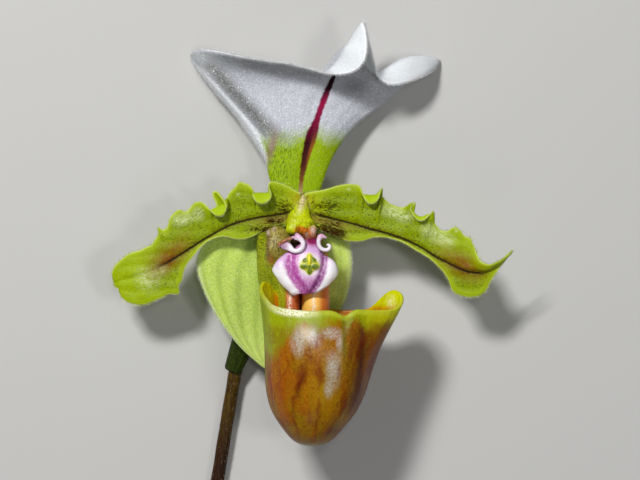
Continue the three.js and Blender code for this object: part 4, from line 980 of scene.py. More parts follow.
def pouch_material(colours):
    """Glossy olive to orange brown with reddish veins, a yellow-green rim and a green toe, with painted
    highlights, painted glints and painted shade in the crease.
    """
    p = Paint("glossy_brown_pouch", specular_ior_level=0.1, coat_weight=0.22, coat_roughness=0.25)
    turn, v, face = p.attribute("place")
    flower = p.flower()
    x, y, z = p.split(flower)
    cloud = p.noise(flower, 0.3, 4, 0.6)
    grain = p.noise(flower, 2.6, 4, 0.75)
    frost = p.noise(flower, 3.1, 4, 0.8)
    broad = p.noise(p.vector(turn * 9, y * 0.05), 1.0, 3, 0.6)
    streaks = p.noise(p.vector(turn * 22 + y * 0.05, y * 0.14), 1.0, 4, 0.65)
    wrinkles = p.noise(p.vector(turn * 60, y * 0.4), 1.0, 3, 0.6)
    brown = p.mix(p.smooth(0.42, 0.58, broad), tuple(colours.pouch), srgb(142, 112, 0))
    dark_grain, light_grain = (p.mix(0.4, brown, srgb(*tone)) for tone in ((96, 48, 0), (196, 140, 10)))
    golden = p.near(x + (y + 30) * 0.1, 3.4, 4.2) * p.near(y, -31.0, 8.0)
    ruddy = p.fade(-2.0, 4.0, x) * p.fade(-27.0, -21.0, y) * p.smooth(0.35, 0.6, cloud)
    body = p.coats(
        p.mix(p.smooth(0.36, 0.6, grain) * 0.7, dark_grain, light_grain),
        (golden * 0.55, 168, 126, 0),
        # painted glints: golden specks of painted highlight
        (p.glints(flower, 2.7, 0.5) * 0.4, 214, 164, 40),
        (ruddy * 0.5, 156, 62, 6),
        (p.smooth(0.5, 0.66, streaks) * 0.7, 112, 36, 2),
    )
    for start, lean, middle, half in POUCH_STAINS:
        from_line = abs(x - y * lean + (cloud - 0.5) * 3.0 - start)
        stain = p.fade(0.0, 0.6, from_line) * p.smooth(0.35, 0.6, broad + (grain - 0.5) * 0.4)
        body = p.coats(body, (stain * p.near(y, middle, half) * 0.8, 88, 22, 2))
    right = p.smooth(6.2, 8.6, x) * p.smooth(-39, -31, y)
    strip = p.near(x + (y + 27) * -0.05, 9.2, 1.1) * p.smooth(-36, -28, y)
    body = p.coats(
        body,
        (right * (p.smooth(0.35, 0.6, streaks) * 0.6 + 0.15), 104, 28, 2),
        (strip * 0.75, 70, 12, 2),
        (p.near(x, 5.2, 3.0) * p.near(y, -36.2, 2.0) * 0.6, 96, 26, 4),
    )
    across_shift = p.near(x, -5.0, 3.0) * 4.2 - p.smooth(-6, 10, x) * 1.6
    green = p.smooth(-22.0, -18.6, y + (cloud - 0.5) * 7 + (streaks - 0.5) * 7 + across_shift)
    mottle = p.smooth(0.42, 0.56, cloud + (grain - 0.5) * 0.6) * p.fade(-20.5, -18.0, y)
    leaf = p.coats(
        tuple(colours.pouch_green),
        (p.smooth(0.4, 0.7, streaks) * 0.4, 112, 122, 10),
        (p.smooth(0.4, 0.6, grain) * 0.35, 122, 130, 0),
        (p.smooth(9.0, 12.5, x) * 0.75, 202, 196, 8),
        (mottle * 0.6, 132, 96, 4),
    )
    # painted highlights: whitish patches where the lights would reflect on the pouch's front
    highlight_patches = 0
    for centre_x, centre_y, reach_x, reach_y in POUCH_HIGHLIGHTS:
        away = (((x - centre_x) * (1 / reach_x)) ** 2 + ((y - centre_y) * (1 / reach_y)) ** 2) ** 0.5
        highlight_patches = p.fade(0.1, 1.25, away + (streaks - 0.5) * 1.2).most(highlight_patches)
    below_ear = p.near(x, 11.8, 2.4) * p.near(y, -20.6, 3.4) * p.smooth(0.4, 0.65, streaks)
    toe = p.fade(-38.9, -37.9, y - p.smooth(2, 6, abs(x - 1.4)) * 1.2)
    # painted highlight: a cream band along the front rim
    rim_highlight = p.smooth(0.952, 0.985, v) * p.near(x, -1.6, 5.4) * p.smooth(6.0, 8.0, z)
    body = p.coats(
        p.mix(green, body, leaf),
        # painted shade along the crease below the rim's notch
        (p.near(x, 6.6, 0.7) * p.smooth(-26.0, -22.0, y) * 0.7, 92, 92, 0),
        (highlight_patches * (p.smooth(0.36, 0.64, frost) * 0.52 + 0.1), 206, 210, 208),
        (below_ear * 0.5, 170, 112, 6),
        (toe * 0.85, 128, 132, 20),
        (p.fade(-6.4, -5.4, x) * 0.5, 124, 138, 20),
        (p.smooth(0.965, 0.995, v) * 0.4, 202, 208, 60),
        (rim_highlight * p.smooth(0.38, 0.52, frost), 250, 246, 214),
    )
    upper = p.mix(p.smooth(0, 6, x), srgb(216, 206, 0), srgb(214, 220, 0))
    glow = p.smooth(-5.6, -4.2, x) * p.fade(-14.8, -13.4, y) * p.fade(2.0, 4.0, x)
    # painted highlight inside the right ear
    ear_highlight = p.near(x, 14.4, 1.1) * p.near(y, -15.3, 1.5) * p.smooth(0.44, 0.56, grain)
    throat = p.coats(
        srgb(206, 150, 6),
        (p.smooth(0.35, 0.65, streaks), 190, 92, 10),
        (p.smooth(-17.0, -15.4, y), upper),
        (glow * 0.85, 222, 104, 10),
        (ear_highlight * 0.8, 255, 250, 200),
    )
    body = p.mix(p.fade(-0.5, 0.0, face) * 0.95, body, throat)
    return p.finish(base_color=body, roughness=0.3 + p.smooth(0.3, 0.7, cloud) * 0.08,
                    normal=p.bump((grain, 0.14), (wrinkles, 0.14), (cloud, 0.3)))


def lobe_material(colours):
    """Side lobes: orange and red-brown pillars, a dotted olive dome and a yellow-green wall, with a painted
    highlight, and painted shade in the depths, in the slit and at the dome's left.
    """
    p = Paint("lip_side_lobes", subsurface_weight=0.04, subsurface_scale=0.0005)
    flower = p.flower()
    x, y, z = p.split(flower)
    grain = p.noise(flower, 3.2, 3, 0.75)
    cloud = p.noise(flower, 0.6, 3)
    mid_cloud = p.smooth(0.4, 0.65, cloud)
    right = p.coats(
        tuple(colours.lobes),
        (mid_cloud, 252, 200, 92),
        (p.smooth(2.3, 3.4, x) * 0.85, 206, 92, 24),
        # painted highlight: a white line of specks down the right pillar
        (p.near(x, 1.8, 0.55) * p.smooth(0.44, 0.54, grain) * 0.9, 255, 250, 232),
    )
    left = p.coats(
        srgb(190, 84, 40),
        (mid_cloud, 222, 122, 62),
        (p.near(x, -2.2, 0.55) * p.smooth(0.44, 0.52, grain) * 0.95, 255, 240, 216),
    )
    green = p.coats(
        srgb(118, 132, 0),
        (p.smooth(0.4, 0.6, grain), 164, 174, 10),
        (p.near(x, -3.4, 0.8) * p.smooth(-18, -12, y) * 0.35, 196, 180, 60),
    )
    olive = p.coats(
        srgb(144, 134, 34),
        (p.smooth(0.35, 0.7, cloud), 176, 162, 76),
        (p.smooth(0.42, 0.6, grain) * 0.5, 190, 172, 96),
        (p.fade(0.14, 0.34, p.cells(flower, 1.9)) * 0.85, 50, 38, 8),
        # darker brown at the dome's left: painted shade, partly the brown of its hairs
        (p.near(x, -6.0, 1.1) * 0.75, 92, 62, 10),
    )
    dome = p.smooth(-9.3, -7.9, y) * p.smooth(-6.4, -5.7, x) * p.fade(-2.4, -1.6, x)
    # painted shade where the lobes lie deep, behind the pillars
    deep_shade = p.fade(-1.0, 0.6, z) * p.smooth(-3.8, -2.6, x) * p.smooth(-12.0, -9.0, y)
    # painted shade in the slit where the two pillars meet
    slit_shade = p.near(x, -0.4, 0.22) * p.smooth(-23, -15, y) * p.smooth(0.5, 1.5, z)
    spots = [p.near(x, spot_x, 0.5) * p.near(y, spot_y, 0.8) * p.smooth(0.2, 0.8, z)
             for spot_x, spot_y in LOBE_SPOTS]
    body = p.coats(
        p.mix(p.smooth(-0.5, -0.2, x), left, right),
        (p.smooth(2.0, 2.8, x) * p.smooth(-8.0, -6.9, y), 124, 136, 52),
        (p.fade(-3.1, -2.5, x), green),
        (dome, olive),
        (p.near(x, -5.2, 1.0) * p.near(y, -8.6, 1.4) * 0.8, 160, 88, 30),
        *((spot * 0.8, 226, 196, 176) for spot in spots),
        (deep_shade, 56, 34, 20),
        (slit_shade * 0.8, 52, 20, 12),
    )
    return p.finish(base_color=body, roughness=0.4 - p.smooth(0.5, 0.75, grain) * 0.16,
                    normal=p.bump((grain, 0.18), (cloud, 0.1)))


def shield_material(colours):
    """Lilac and white with purple bands and a magenta neck."""
    p = Paint("satin_lilac_shield", subsurface_weight=0.1, subsurface_scale=0.0005, specular_ior_level=0.5)
    flower = p.flower()
    x, y, _ = p.split(flower)
    grain = p.noise(flower, 5.0, 3, 0.6)
    fibre = p.noise(flower, 1.7, 4, 0.7)
    mottle = p.noise(p.vector(x * 3.2, y * 1.8), 1.0, 4, 0.7)
    left, right = (x - p.follow(y, [(row[0], row[k]) for row in SHIELD_BANDS]) for k in (1, 2))
    ragged = (fibre - 0.5) * 0.8
    band = p.fade(0.5, 1.35, abs(left + ragged)).most(p.fade(0.3, 1.05, abs(right + ragged)))
    between = p.smooth(0.0, 0.5, left) * p.smooth(0.0, 0.5, right * -1)
    inner = p.fade(0.7, 1.9, left).most(p.fade(-12.4, -10.6, y))
    outside = p.smooth(0.5, 1.2, left * -1).most(p.smooth(0.4, 1.0, right))
    lilac = p.smooth(-10.8, -8.4, y) * (1 - p.smooth(-1.0, 3.0, x) * 0.6)
    purple = p.mix(p.smooth(-1.0, 2.2, x), srgb(178, 54, 152), tuple(colours.shield_band))
    neck = p.smooth(-6.9, -5.3, y) * p.near(x, 1.6, 2.2)
    shoulder = p.near(x + (y + 5.6) * 0.75, 2.3, 0.9) * p.smooth(-8.2, -6.6, y)
    centre_x, centre_y, _ = BOSS_CENTRE
    halo = p.fade(1.5, 2.2, ((x - centre_x) ** 2 + (y - centre_y) ** 2) ** 0.5)
    body = p.coats(
        tuple(colours.shield),
        (p.smooth(0.4, 0.65, mottle) * 0.4, 212, 160, 214),
        (between * inner * (p.smooth(0.3, 0.55, mottle) * 0.65 + 0.2), 194, 100, 176),
        (outside * 0.97, p.mix(lilac, srgb(255, 253, 255), srgb(224, 184, 226))),
        (band * (p.smooth(0.3, 0.55, mottle) * 0.45 + 0.45), purple),
        (p.smooth(-8.6, -6.8, y) * (1 - band) * 0.7, 210, 156, 214),
        ((neck * 1.3).least(1), 140, 0, 78),
        (shoulder * (p.smooth(0.3, 0.5, mottle) * 0.4 + 0.4), 150, 32, 116),
        (p.smooth(-5.6, -4.9, y) * 0.8, 90, 16, 36),
        (p.fade(-14.2, -13.6, y) * p.near(x, 0.4, 2.4) * 0.6, 190, 84, 130),
        (halo * 0.5, 246, 238, 210),
    )
    return p.finish(base_color=body, roughness=0.34 - grain * 0.12,
                    normal=p.bump((grain, 0.05), (fibre, 0.14)))


def horn_material():
    """White to pink horns, with an orange-brown fold outside the left one."""
    p = Paint("satin_white_horns", subsurface_weight=0.1, subsurface_scale=0.0004)
    flower = p.flower()
    x, y, z = p.split(flower)
    fibre = p.noise(flower, 2.5, 3)
    fold = p.smooth(-0.4, -0.15, y - x * 0.5 + 4.0) * p.fade(-2.0, -1.4, x)
    body = p.coats(
        srgb(248, 240, 248),
        (p.smooth(0.35, 0.65, fibre) * 0.3, 226, 196, 224),
        (p.smooth(-5.6, -4.4, y) * 0.75, 206, 124, 172),
        (p.fade(6.0, 6.9, z) * 0.75, 150, 74, 130),
        (fold * 0.9, p.mix(p.smooth(0.4, 0.6, fibre), srgb(128, 66, 20), srgb(196, 120, 60))),
    )
    return p.finish(base_color=body, roughness=0.36 - fibre * 0.08, normal=p.bump((fibre, 0.08)))


def boss_material(colours):
    """Yellow-green knob with dark green swellings, a yellow ridge and a pale outline."""
    p = Paint("waxy_green_boss", subsurface_weight=0.08, subsurface_scale=0.0005, specular_ior_level=0.6)
    reach, dark, ridge = p.attribute("place")
    grain = p.noise(p.flower(), 3.2, 3, 0.7)
    green = p.mix(p.smooth(0.35, 0.6, grain), srgb(62, 88, 0), srgb(132, 152, 10))
    body = p.coats(
        tuple(colours.boss),
        (p.smooth(0.35, 0.65, grain), 222, 220, 84),
        (p.smooth(0.82, 0.97, reach), 244, 240, 170),
        (p.smooth(0.28, 0.62, dark + (grain - 0.5) * 1.5) * 0.95, green),
        (p.smooth(0.25, 0.7, ridge), 236, 230, 40),
    )
    return p.finish(base_color=body, roughness=0.3 + grain * 0.1, normal=p.bump((grain, 0.14)))


def column_material(colours):
    """Yellow-green nose with a pale crest, an orange-brown throat and pinkish anthers."""
    p = Paint("column_skin", subsurface_weight=0.08, subsurface_scale=0.0005, specular_ior_level=0.3)
    flower = p.flower()
    x, y, z = p.split(flower)
    cloud = p.noise(flower, 0.9, 3)
    fine = p.noise(p.vector(x * 3.4, y * 1.2, z), 1.0, 3, 0.7)
    flank = p.smooth(1.0, 2.4, abs(x + 0.4)) * p.smooth(-3.4, -2.2, y)
    crest = p.near(x + (2.0 - y) * 0.25, 0.1, 0.9) * p.smooth(-1.6, 0.6, y)
    throat = p.fade(-3.5, -2.7, y + (cloud - 0.5) * 1.6) * p.smooth(-1.9, -0.9, x)
    body = p.coats(
        tuple(colours.nose),
        (p.smooth(0.4, 0.65, cloud), 196, 208, 6),
        (p.fade(0.4, 0.55, fine) * 0.5, 146, 158, 0),
        (flank * 0.6, 158, 170, 4),
        (crest * (p.smooth(0.35, 0.55, fine) * 0.5 + 0.35), 230, 206, 176),
        (throat * 0.95, p.mix(p.smooth(0.42, 0.58, fine), srgb(112, 50, 6), srgb(208, 100, 4))),
        (p.fade(-5.0, -4.1, y) * 0.75, 84, 16, 34),
        (p.fade(-0.2, 0.5, x) * p.fade(-4.5, -3.6, y), 52, 26, 16),
        (p.fade(1.8, 3.4, z) * p.fade(-5.0, -3.9, y) * p.smooth(1.2, 2.0, x), 126, 140, 60),
        (p.near(x, 1.75, 0.9) * p.near(y, -3.7, 1.4) * p.smooth(3.4, 4.1, z) * 0.9, 206, 174, 156),
    )
    return p.finish(base_color=body, roughness=0.45 - fine * 0.1, normal=p.bump((fine, 0.1), (cloud, 0.2)))


def stalk_material(name, ground, dark, light, scale, upper=None):
    """Dull skin with lengthwise streaks and small dots, and another colour near the node."""
    p = Paint(name, subsurface_weight=0.03, subsurface_scale=0.0004, specular_ior_level=0.15)
    flower = p.flower()
    x, y, z = p.split(flower)
    streak = p.noise(p.vector(x * scale, y * scale * 0.18, z * scale), 1.0, 3, 0.6)
    dots = p.fade(0.15, 0.4, p.cells(flower, 2.2))
    body = p.coats(tuple(ground), (p.smooth(0.4, 0.66, streak), dark), (dots * 0.5, light))
    if upper:
        body = p.coats(body, (p.smooth(-44.0, -28.0, y) * p.smooth(0.3, 0.6, streak) * 0.8, upper))
    return p.finish(base_color=body, roughness=0.6 - streak * 0.15,
                    normal=p.bump((streak, 0.12), (dots, 0.05)))


def hair_material(name, root, tip):
    """Thin hairs, a little lighter here and there."""
    p = Paint(name, roughness=0.55, specular_ior_level=0.15)
    shade = p.noise(p.flower(), 2.0, 1)
    return p.finish(base_color=p.mix(p.smooth(0.35, 0.65, shade), root, tip))


# ---- Pieces ----------------------------------------------------------------------------------

GRIDS = {  # points along and across each sheet
    "dorsal_sepal": (110, 200), "synsepal": (90, 100), "petal": (330, 70), "curl_tip": (40, 30),
    "side_lobes": (80, 190), "shield": (100, 110), "bract": (60, 70),
}
RINGS = {  # rings along each round piece, and points round each of them
    "pouch": (80, 180), "horn": (90, 20), "boss": (36, 96), "ovary": (110, 72), "stem": (160, 40),
}
POUCH_LIP_STEPS = 9  # over the rounded rim, its two ends included
MIDVEIN_READINGS = 900  # places at which the tables of a petal are read before they are matched
CURL_TIP_ACROSS = 3.0  # the tip counts as the blade's upper half
DRAW_OFFSETS = {  # added to the seed, for random draws of a piece's own
    "dorsal_sepal": 1, "synsepal": 2, "left_petal": 3, "right_petal": 4, "lip": 5, "column": 6,
    "ovary_hairs": 7, "stem": 8, "stem_hairs": 9,
}
HAIRS = {  # how many hairs each part has
    "dorsal_down": 9000, "dorsal_fringe": 5200, "synsepal_down": 6000, "synsepal_fringe": 2600,
    "petal_fringe": 2000, "lobe": 240, "ovary_hairs": 1800, "stem_hairs": 1100,
}
COLUMN_HAIRS = [  # name, hairs, the y that they begin at, and the colours of root and tip
    ("column_hairs", 220, -0.8, srgb(196, 170, 90), srgb(238, 222, 160)),
    ("column_beard", 200, -4.4, srgb(110, 80, 6), srgb(206, 206, 60)),
]


def draws(sizes, name):
    return np.random.default_rng(sizes.seed * 100 + DRAW_OFFSETS[name])


def varied(draw, count, middle):
    """Lengths about a middle value, in millimetres."""
    return middle / MM * draw.uniform(0.55, 1.25, count)


def joined(*shapes):
    """Several closed meshes as one."""
    vertices, faces, start = [], [], 0
    for shape in shapes:
        vertices.append(shape[0])
        faces += [tuple(start + k for k in f) for f in shape[1]]
        start += len(shape[0])
    return np.concatenate(vertices), faces


def angles_round(count):
    return np.arange(count) / count * 2 * math.pi


def down_hairs(sheet, count, sizes, draw, lie, weight=None, in_front=None):
    """Short hairs on a sepal that lie along it; in_front is the share of them on its front, or all."""
    points, normals, along = sheet.scatter(count, draw, weight)
    if in_front is not None:
        normals = normals * np.where(draw.random((count, 1)) < in_front, 1.0, -1.0)
    lean = normals + along * lie + draw.normal(0, 0.35, (count, 3))
    roots = points + normals * sizes.sepal / MM * 0.45
    return spikes(roots, lean, varied(draw, count, sizes.down), radius=0.014, bend=0.25, draw=draw)


def fringe_hairs(sheet, count, length, radius, draw):
    """Hairs that stand out from a sepal's margins."""
    points, out, normals = sheet.margin(count, draw)
    lean = out + normals * draw.normal(0, 0.45, (count, 1)) + draw.normal(0, 0.25, (count, 3))
    return spikes(points - out * 0.06, lean, varied(draw, count, length), radius, bend=0.3, draw=draw)


def build_dorsal_sepal(sizes, colours):
    sheet = from_net(DORSAL_NET, *GRIDS["dorsal_sepal"], DORSAL_MIDVEIN)
    keel = -DORSAL_KEEL["depth"] * bell(sheet.across / DORSAL_KEEL["width"])
    keel = keel * smoothstep(0.02, 0.2, sheet.v)[:, None]
    veins = VEIN_HEIGHT * np.cos(DORSAL_VEINS * sheet.u)[None, :] * smoothstep(0.25, 0.6, sheet.v)[:, None]
    sheet.raise_by(keel + veins)
    add_piece("dorsal_sepal_blade", sheet.solid(sizes.sepal / MM), dorsal_material(colours),
              ["dorsal_sepal"])
    draw = draws(sizes, "dorsal_sepal")
    above_foot = smoothstep(9, 13, sheet.grid[..., 1])
    weight = smoothstep(0.9, 1.5, abs(sheet.across)) * (0.25 + 0.75 * above_foot)
    surface = down_hairs(sheet, HAIRS["dorsal_down"], sizes, draw, lie=0.5, weight=weight, in_front=0.6)
    fringe = fringe_hairs(sheet, HAIRS["dorsal_fringe"], sizes.fringe, 0.02, draw)
    down = hair_material("white_down", srgb(236, 236, 238), srgb(255, 255, 255))
    add_piece("dorsal_sepal_down", joined(surface, fringe), down)


def build_synsepal(sizes, colours):
    sheet = from_net(SYNSEPAL_NET, *GRIDS["synsepal"], facing=-1)
    ribs = RIB_HEIGHT * np.cos(SYNSEPAL_RIBS * sheet.u)[None, :]
    sheet.raise_by(ribs * smoothstep(0.1, 0.3, sheet.v)[:, None])
    add_piece("synsepal_blade", sheet.solid(sizes.sepal / MM), synsepal_material(colours),
              ["synsepal"])
    draw = draws(sizes, "synsepal")
    surface = down_hairs(sheet, HAIRS["synsepal_down"], sizes, draw, lie=0.4)
    fringe = fringe_hairs(sheet, HAIRS["synsepal_fringe"], sizes.fringe * 0.8, 0.018, draw)
    down = hair_material("pale_down", srgb(206, 220, 170), srgb(250, 252, 240))
    add_piece("synsepal_down", joined(surface, fringe), down)


def facing_points(table, on_vein, side):
    """Points of a margin that face the given places along the midvein, or the midvein's own."""
    fine = tracks(table, evenly(MIDVEIN_READINGS))
    return np.stack([np.interp(side * on_vein, side * fine[0], column) for column in fine[-3:]], -1)


def petal_sheet(midvein, upper, lower, side):
    """Sheet of a petal: rows run along it from base to tip, columns from its lower to its upper margin."""
    rows, columns = GRIDS["petal"]
    along, across = evenly(rows), denser_at_ends(columns, 0.5)
    on_vein, x, y, z, roll, height = tracks(upper, along)
    rim = np.stack([x, y, z], -1)
    vein, low = (facing_points(table, on_vein, side) for table in (midvein, lower))
    roll = np.clip(roll, 0, 1)[:, None]
    behind = np.stack([x, y + np.clip(height, 0, None), vein[:, 2] + 0.5], -1)
    flat = [vein + (rim - vein) * share for share in (0.4, 0.7, 0.88)]
    over = (behind + rim * (1, 0, 1) + behind * (0, 1, 0)) * 0.5
    rolled = [vein + (behind - vein) * 0.5, behind - (0, ROLL_RADIUS, 0), over]
    blade = [a + (b - a) * roll for a, b in zip(flat, rolled)]
    beneath = vein + (low - vein) * 0.5 - (0, 0, 0.08)
    above_vein = PETAL_MIDVEIN + (1 - PETAL_MIDVEIN) * np.array((0.42, 0.72, 0.88))
    knots = [0, PETAL_MIDVEIN / 2, PETAL_MIDVEIN, *above_vein, 1]
    grid = spline(knots, np.array([low, beneath, vein, *blade, rim]), across).transpose(1, 0, 2)
    return Sheet(grid, along, across, PETAL_MIDVEIN, -side)


def build_petal(name, outline, side, sizes, colours):
    sheet = petal_sheet(*outline, side)
    groove = -PETAL_GROOVE["depth"] * bell(sheet.across / PETAL_GROOVE["width"])
    x, y = sheet.grid[..., 0], sheet.grid[..., 1]
    pucker = PUCKER_HEIGHT * np.sin(0.8 * x + 1.9 * y) * np.sin(1.1 * y - 0.7 * x)
    sheet.raise_by(groove + pucker * smoothstep(0.4, 1.6, sheet.edge))
    material = petal_material(name + "_skin", colours, side)
    add_piece(name + "_blade", sheet.solid(sizes.petal / MM, 0.5), material, [name])
    if side < 0:
        tip = from_net(CURL_TIP_NET, *GRIDS["curl_tip"])
        tip.across = tip.across + CURL_TIP_ACROSS
        add_piece(name + "_curl_tip", tip.solid(sizes.petal / MM, 0.3), material)
    draw = draws(sizes, name)
    x, y = sheet.grid[..., 0], sheet.grid[..., 1]
    patches = []
    for centre_x, centre_y, spread_x, spread_y, count in BEARDS[name]:
        weight = bell((x - centre_x) / spread_x) * bell((y - centre_y) / spread_y)
        points, normals, _ = sheet.scatter(count, draw, weight)
        lean = normals * 0.5 + unit(points - NOSE) * (0.9, 0.9, 0) + draw.normal(0, 0.22, (count, 3))
        lengths = varied(draw, count, sizes.beard)
        patches.append(spikes(points + normals * 0.15, lean, lengths, radius=0.036, bend=0.35, draw=draw))
    dark = hair_material(name + "_beard", srgb(44, 16, 8), srgb(104, 60, 16))
    add_piece(name + "_beard", joined(*patches), dark)
    count = HAIRS["petal_fringe"]
    points, out, _ = sheet.margin(count, draw)
    lean = out + draw.normal(0, 0.4, (count, 3))
    lengths = varied(draw, count, sizes.down) * (1 + 1.1 * smoothstep(21, 26, abs(points[:, 0])))
    fringe = spikes(points - out * 0.05, lean, lengths, radius=0.015, bend=0.3, draw=draw)
    pale = hair_material(name + "_fringe", srgb(190, 200, 110), srgb(240, 244, 200))
    add_piece(name + "_fringe", fringe, pale)


def pouch_rings(wall):
    """Rings of the pouch from its outside toe over the rim to its inside toe, with their attributes."""
    levels, sides = RINGS["pouch"]
    turn = np.arange(sides) / sides
    degrees = 270 - 360 * turn
    angle = np.radians(degrees)
    rise, flare = spline([r[0] for r in POUCH_RIM], [r[1:] for r in POUCH_RIM], degrees).T
    climb = 1 - (1 - evenly(levels)) ** CLOSER_AT_RIM
    route = [(v, 0, 0, 1) for v in climb[1:]]
    for a in evenly(POUCH_LIP_STEPS)[1:-1] * math.pi:
        route.append((1, wall / 2 * (1 - math.cos(a)), wall / 2 * math.sin(a), math.cos(a)))
    route += [(v, wall, 0, -1) for v in climb[:0:-2]]
    rings, places = [], []
    for v, inset, over, face in route:
        y, left, right, back, front = spline([r[0] for r in POUCH_RINGS], [r[1:] for r in POUCH_RINGS],
                                             np.array([v]))[0]
        lift = smoothstep(RIM_RISE_START, 1, v)
        wide = (right - left) / 2 - min(inset, (right - left) / 2) + flare * lift
        deep = max((front - back) / 2 - inset, 0) + flare * lift
        crease = POUCH_CREASE["depth"] * bell((degrees - POUCH_CREASE["degrees"]) / POUCH_CREASE["width"])
        crease = crease * smoothstep(POUCH_CREASE["from"], 0.9, v)
        ribs = VEIN_HEIGHT * np.cos(angle * POUCH_RIBS) * smoothstep(0.1, 0.5, v)
        pull = 1 - (crease - ribs) / np.maximum(deep, 1)
        rings.append(np.stack([
            (left + right) / 2 + wide * pull * np.cos(angle),
            y + rise * lift + inset * (1 - v) ** 2 + over,
            (back + front) / 2 + deep * pull * np.sin(angle),
        ], -1))
        places.append(np.stack([turn, np.full(sides, v), np.full(sides, face)], -1))
    return np.array(rings), np.array(places)


def build_lip(sizes, colours):
    rings, places = pouch_rings(sizes.lip / MM)
    place = np.concatenate([places.reshape(-1, 3), [(0, 0, 1), (0, 0, -1)]])
    add_piece("lip_pouch", (*rings_solid(rings), {"place": place}), pouch_material(colours), ["lip"])
    net = [[(x, y, z) for x, z in row] for y, *row in LOBE_NET]
    sheet = from_net(net, *GRIDS["side_lobes"])
    x, y = sheet.grid[..., 0], sheet.grid[..., 1]
    left_lobe = (sheet.u < LEFT_LOBE_SHARE)[None, :]
    swelling = np.hypot(x - LOBE_DOME["centre"][0], y - LOBE_DOME["centre"][1]) / LOBE_DOME["radius"]
    sheet.raise_by(LOBE_DOME["height"] * bell(swelling) * left_lobe)
    crest = LOBE_CREST["height"] * bell((x - LOBE_CREST["x"]) / LOBE_CREST["width"])
    sheet.grid[..., 1] += crest * (1 - smoothstep(0, LOBE_CREST["share"], sheet.v))[:, None]
    sheet.measure()
    add_piece("lip_side_lobes", sheet.solid(sizes.lip / MM), lobe_material(colours))
    draw, count = draws(sizes, "lip"), HAIRS["lobe"]
    weight = bell((x + 5.2) / 1.3) * bell((y + 6.2) / 2.2) * left_lobe
    points, normals, _ = sheet.scatter(count, draw, weight)
    lean = normals + np.array((-0.3, 0.4, 0)) + draw.normal(0, 0.4, (count, 3))
    lengths = varied(draw, count, sizes.beard * 0.7)
    hairs = spikes(points + normals * 0.3, lean, lengths, radius=0.024, bend=0.35, draw=draw)
    beard = hair_material("lobe_beard", srgb(60, 36, 10), srgb(120, 92, 40))
    add_piece("lip_lobe_hairs", hairs, beard)


def build_staminode(sizes, colours):
    rows, columns = GRIDS["shield"]
    down, over = denser_at_ends(rows, 0.6), denser_at_ends(columns)
    y, left, right = tracks(SHIELD_OUTLINE, down)
    grid = np.empty((rows, columns, 3))
    grid[..., 0] = left[:, None] + (right - left)[:, None] * over
    point = SHIELD_POINT["length"] * bell((grid[..., 0] - SHIELD_POINT["x"]) / SHIELD_POINT["width"])
    grid[..., 1] = y[:, None] - point * smoothstep(0.8, 1, down)[:, None]
    bow = 4 * over * (1 - over)
    arch = smoothstep(-0.1, 0.5, down) * (1 - 0.5 * smoothstep(0.6, 1, down))
    dip = SHIELD_HEIGHT["dip"] * smoothstep(-6.2, -4.4, y)[:, None]
    grid[..., 2] = SHIELD_HEIGHT["edge"] + SHIELD_HEIGHT["crown"] * arch[:, None] * bow - dip
    shield = Sheet(grid, down, over, facing=-1)
    x, y = grid[..., 0], grid[..., 1]
    places, *middles = np.transpose(SHIELD_BANDS)
    left, right = (x - np.interp(-y, -places, middle) for middle in middles)
    lobes = 0.45 * (bell((left + 1.6) / 0.9) + bell((right - 1.3) / 0.9)) * smoothstep(-7.2, -9.2, y)
    shield.raise_by(lobes - 0.22 * (bell(left / 0.6) + bell(right / 0.5)))
    add_piece("staminode_shield", shield.solid(sizes.shield / MM, 0.6), shield_material(colours),
              ["staminode"])
    horns = joined(horn(LEFT_HORN), horn(LEFT_FOLD), horn(RIGHT_HORN))
    add_piece("staminode_horns", horns, horn_material())
    add_piece("staminode_boss", boss(), boss_material(colours))


def horn(route):
    """A rolled edge, standing towards the viewer, with rounded rim and ends."""
    count, sides = RINGS["horn"]
    x, y, half, front = tracks(route, evenly(count))
    tangent = unit(np.gradient(np.stack([x, y], -1), axis=0))
    cosine, sine = np.cos(angles_round(sides)), np.sin(angles_round(sides))
    ends = np.sqrt(np.clip(np.minimum(evenly(count), evenly(count)[::-1]) / 0.03, 0.02, 1))
    rings = []
    for k in range(count):
        thick = half[k] * ends[k] * np.sign(cosine) * np.abs(cosine) ** 0.8
        deep = (front[k] - HORN_FLOOR) / 2 * ends[k]
        z = (front[k] + HORN_FLOOR) / 2 + deep * np.sign(sine) * np.abs(sine) ** 0.5
        rings.append(np.stack([x[k] - tangent[k, 1] * thick, y[k] + tangent[k, 0] * thick, z], -1))
    return rings_solid(np.array(rings))


def mound(x, y, centre_x, centre_y, reach_x, reach_y):
    """1 at its centre, falling steeply away past its reach."""
    return bell(np.hypot((x - centre_x) / reach_x, (y - centre_y) / reach_y) ** 2)


def boss():
    """The knob on the shield: a lobed low dome with a flat underside sunk into the shield."""
    levels, sides = RINGS["boss"]
    around = angles_round(sides)
    reach = spline([d for d, _ in BOSS_OUTLINE], [r for _, r in BOSS_OUTLINE], np.degrees(around))
    rings, places = [], []
    for step, share in enumerate([*np.linspace(0.03, 1, levels), 0.98, 0.5, 0.1]):
        x, y = share * reach * np.cos(around), share * reach * np.sin(around)
        dark = np.max([mound(x, y, *patch) for patch in BOSS_MOUNDS], axis=0)
        ridge = mound(x, y, *BOSS_RIDGE)
        relief = BOSS_HEIGHT["mounds"] * dark + BOSS_HEIGHT["ridge"] * ridge
        top = BOSS_HEIGHT["dome"] * np.sqrt(1 - share**2) + relief * (1 - share**4)
        z = np.full(sides, BOSS_HEIGHT["underside"]) if step >= levels else top
        rings.append(np.stack([x, y, z], -1) + BOSS_CENTRE)
        places.append(np.stack([np.full(sides, share), dark, ridge], -1))
    place = np.concatenate([np.array(places).reshape(-1, 3), [(0, 0.2, 0), (0, 0, 0)]])
    return *rings_solid(np.array(rings)), {"place": place}


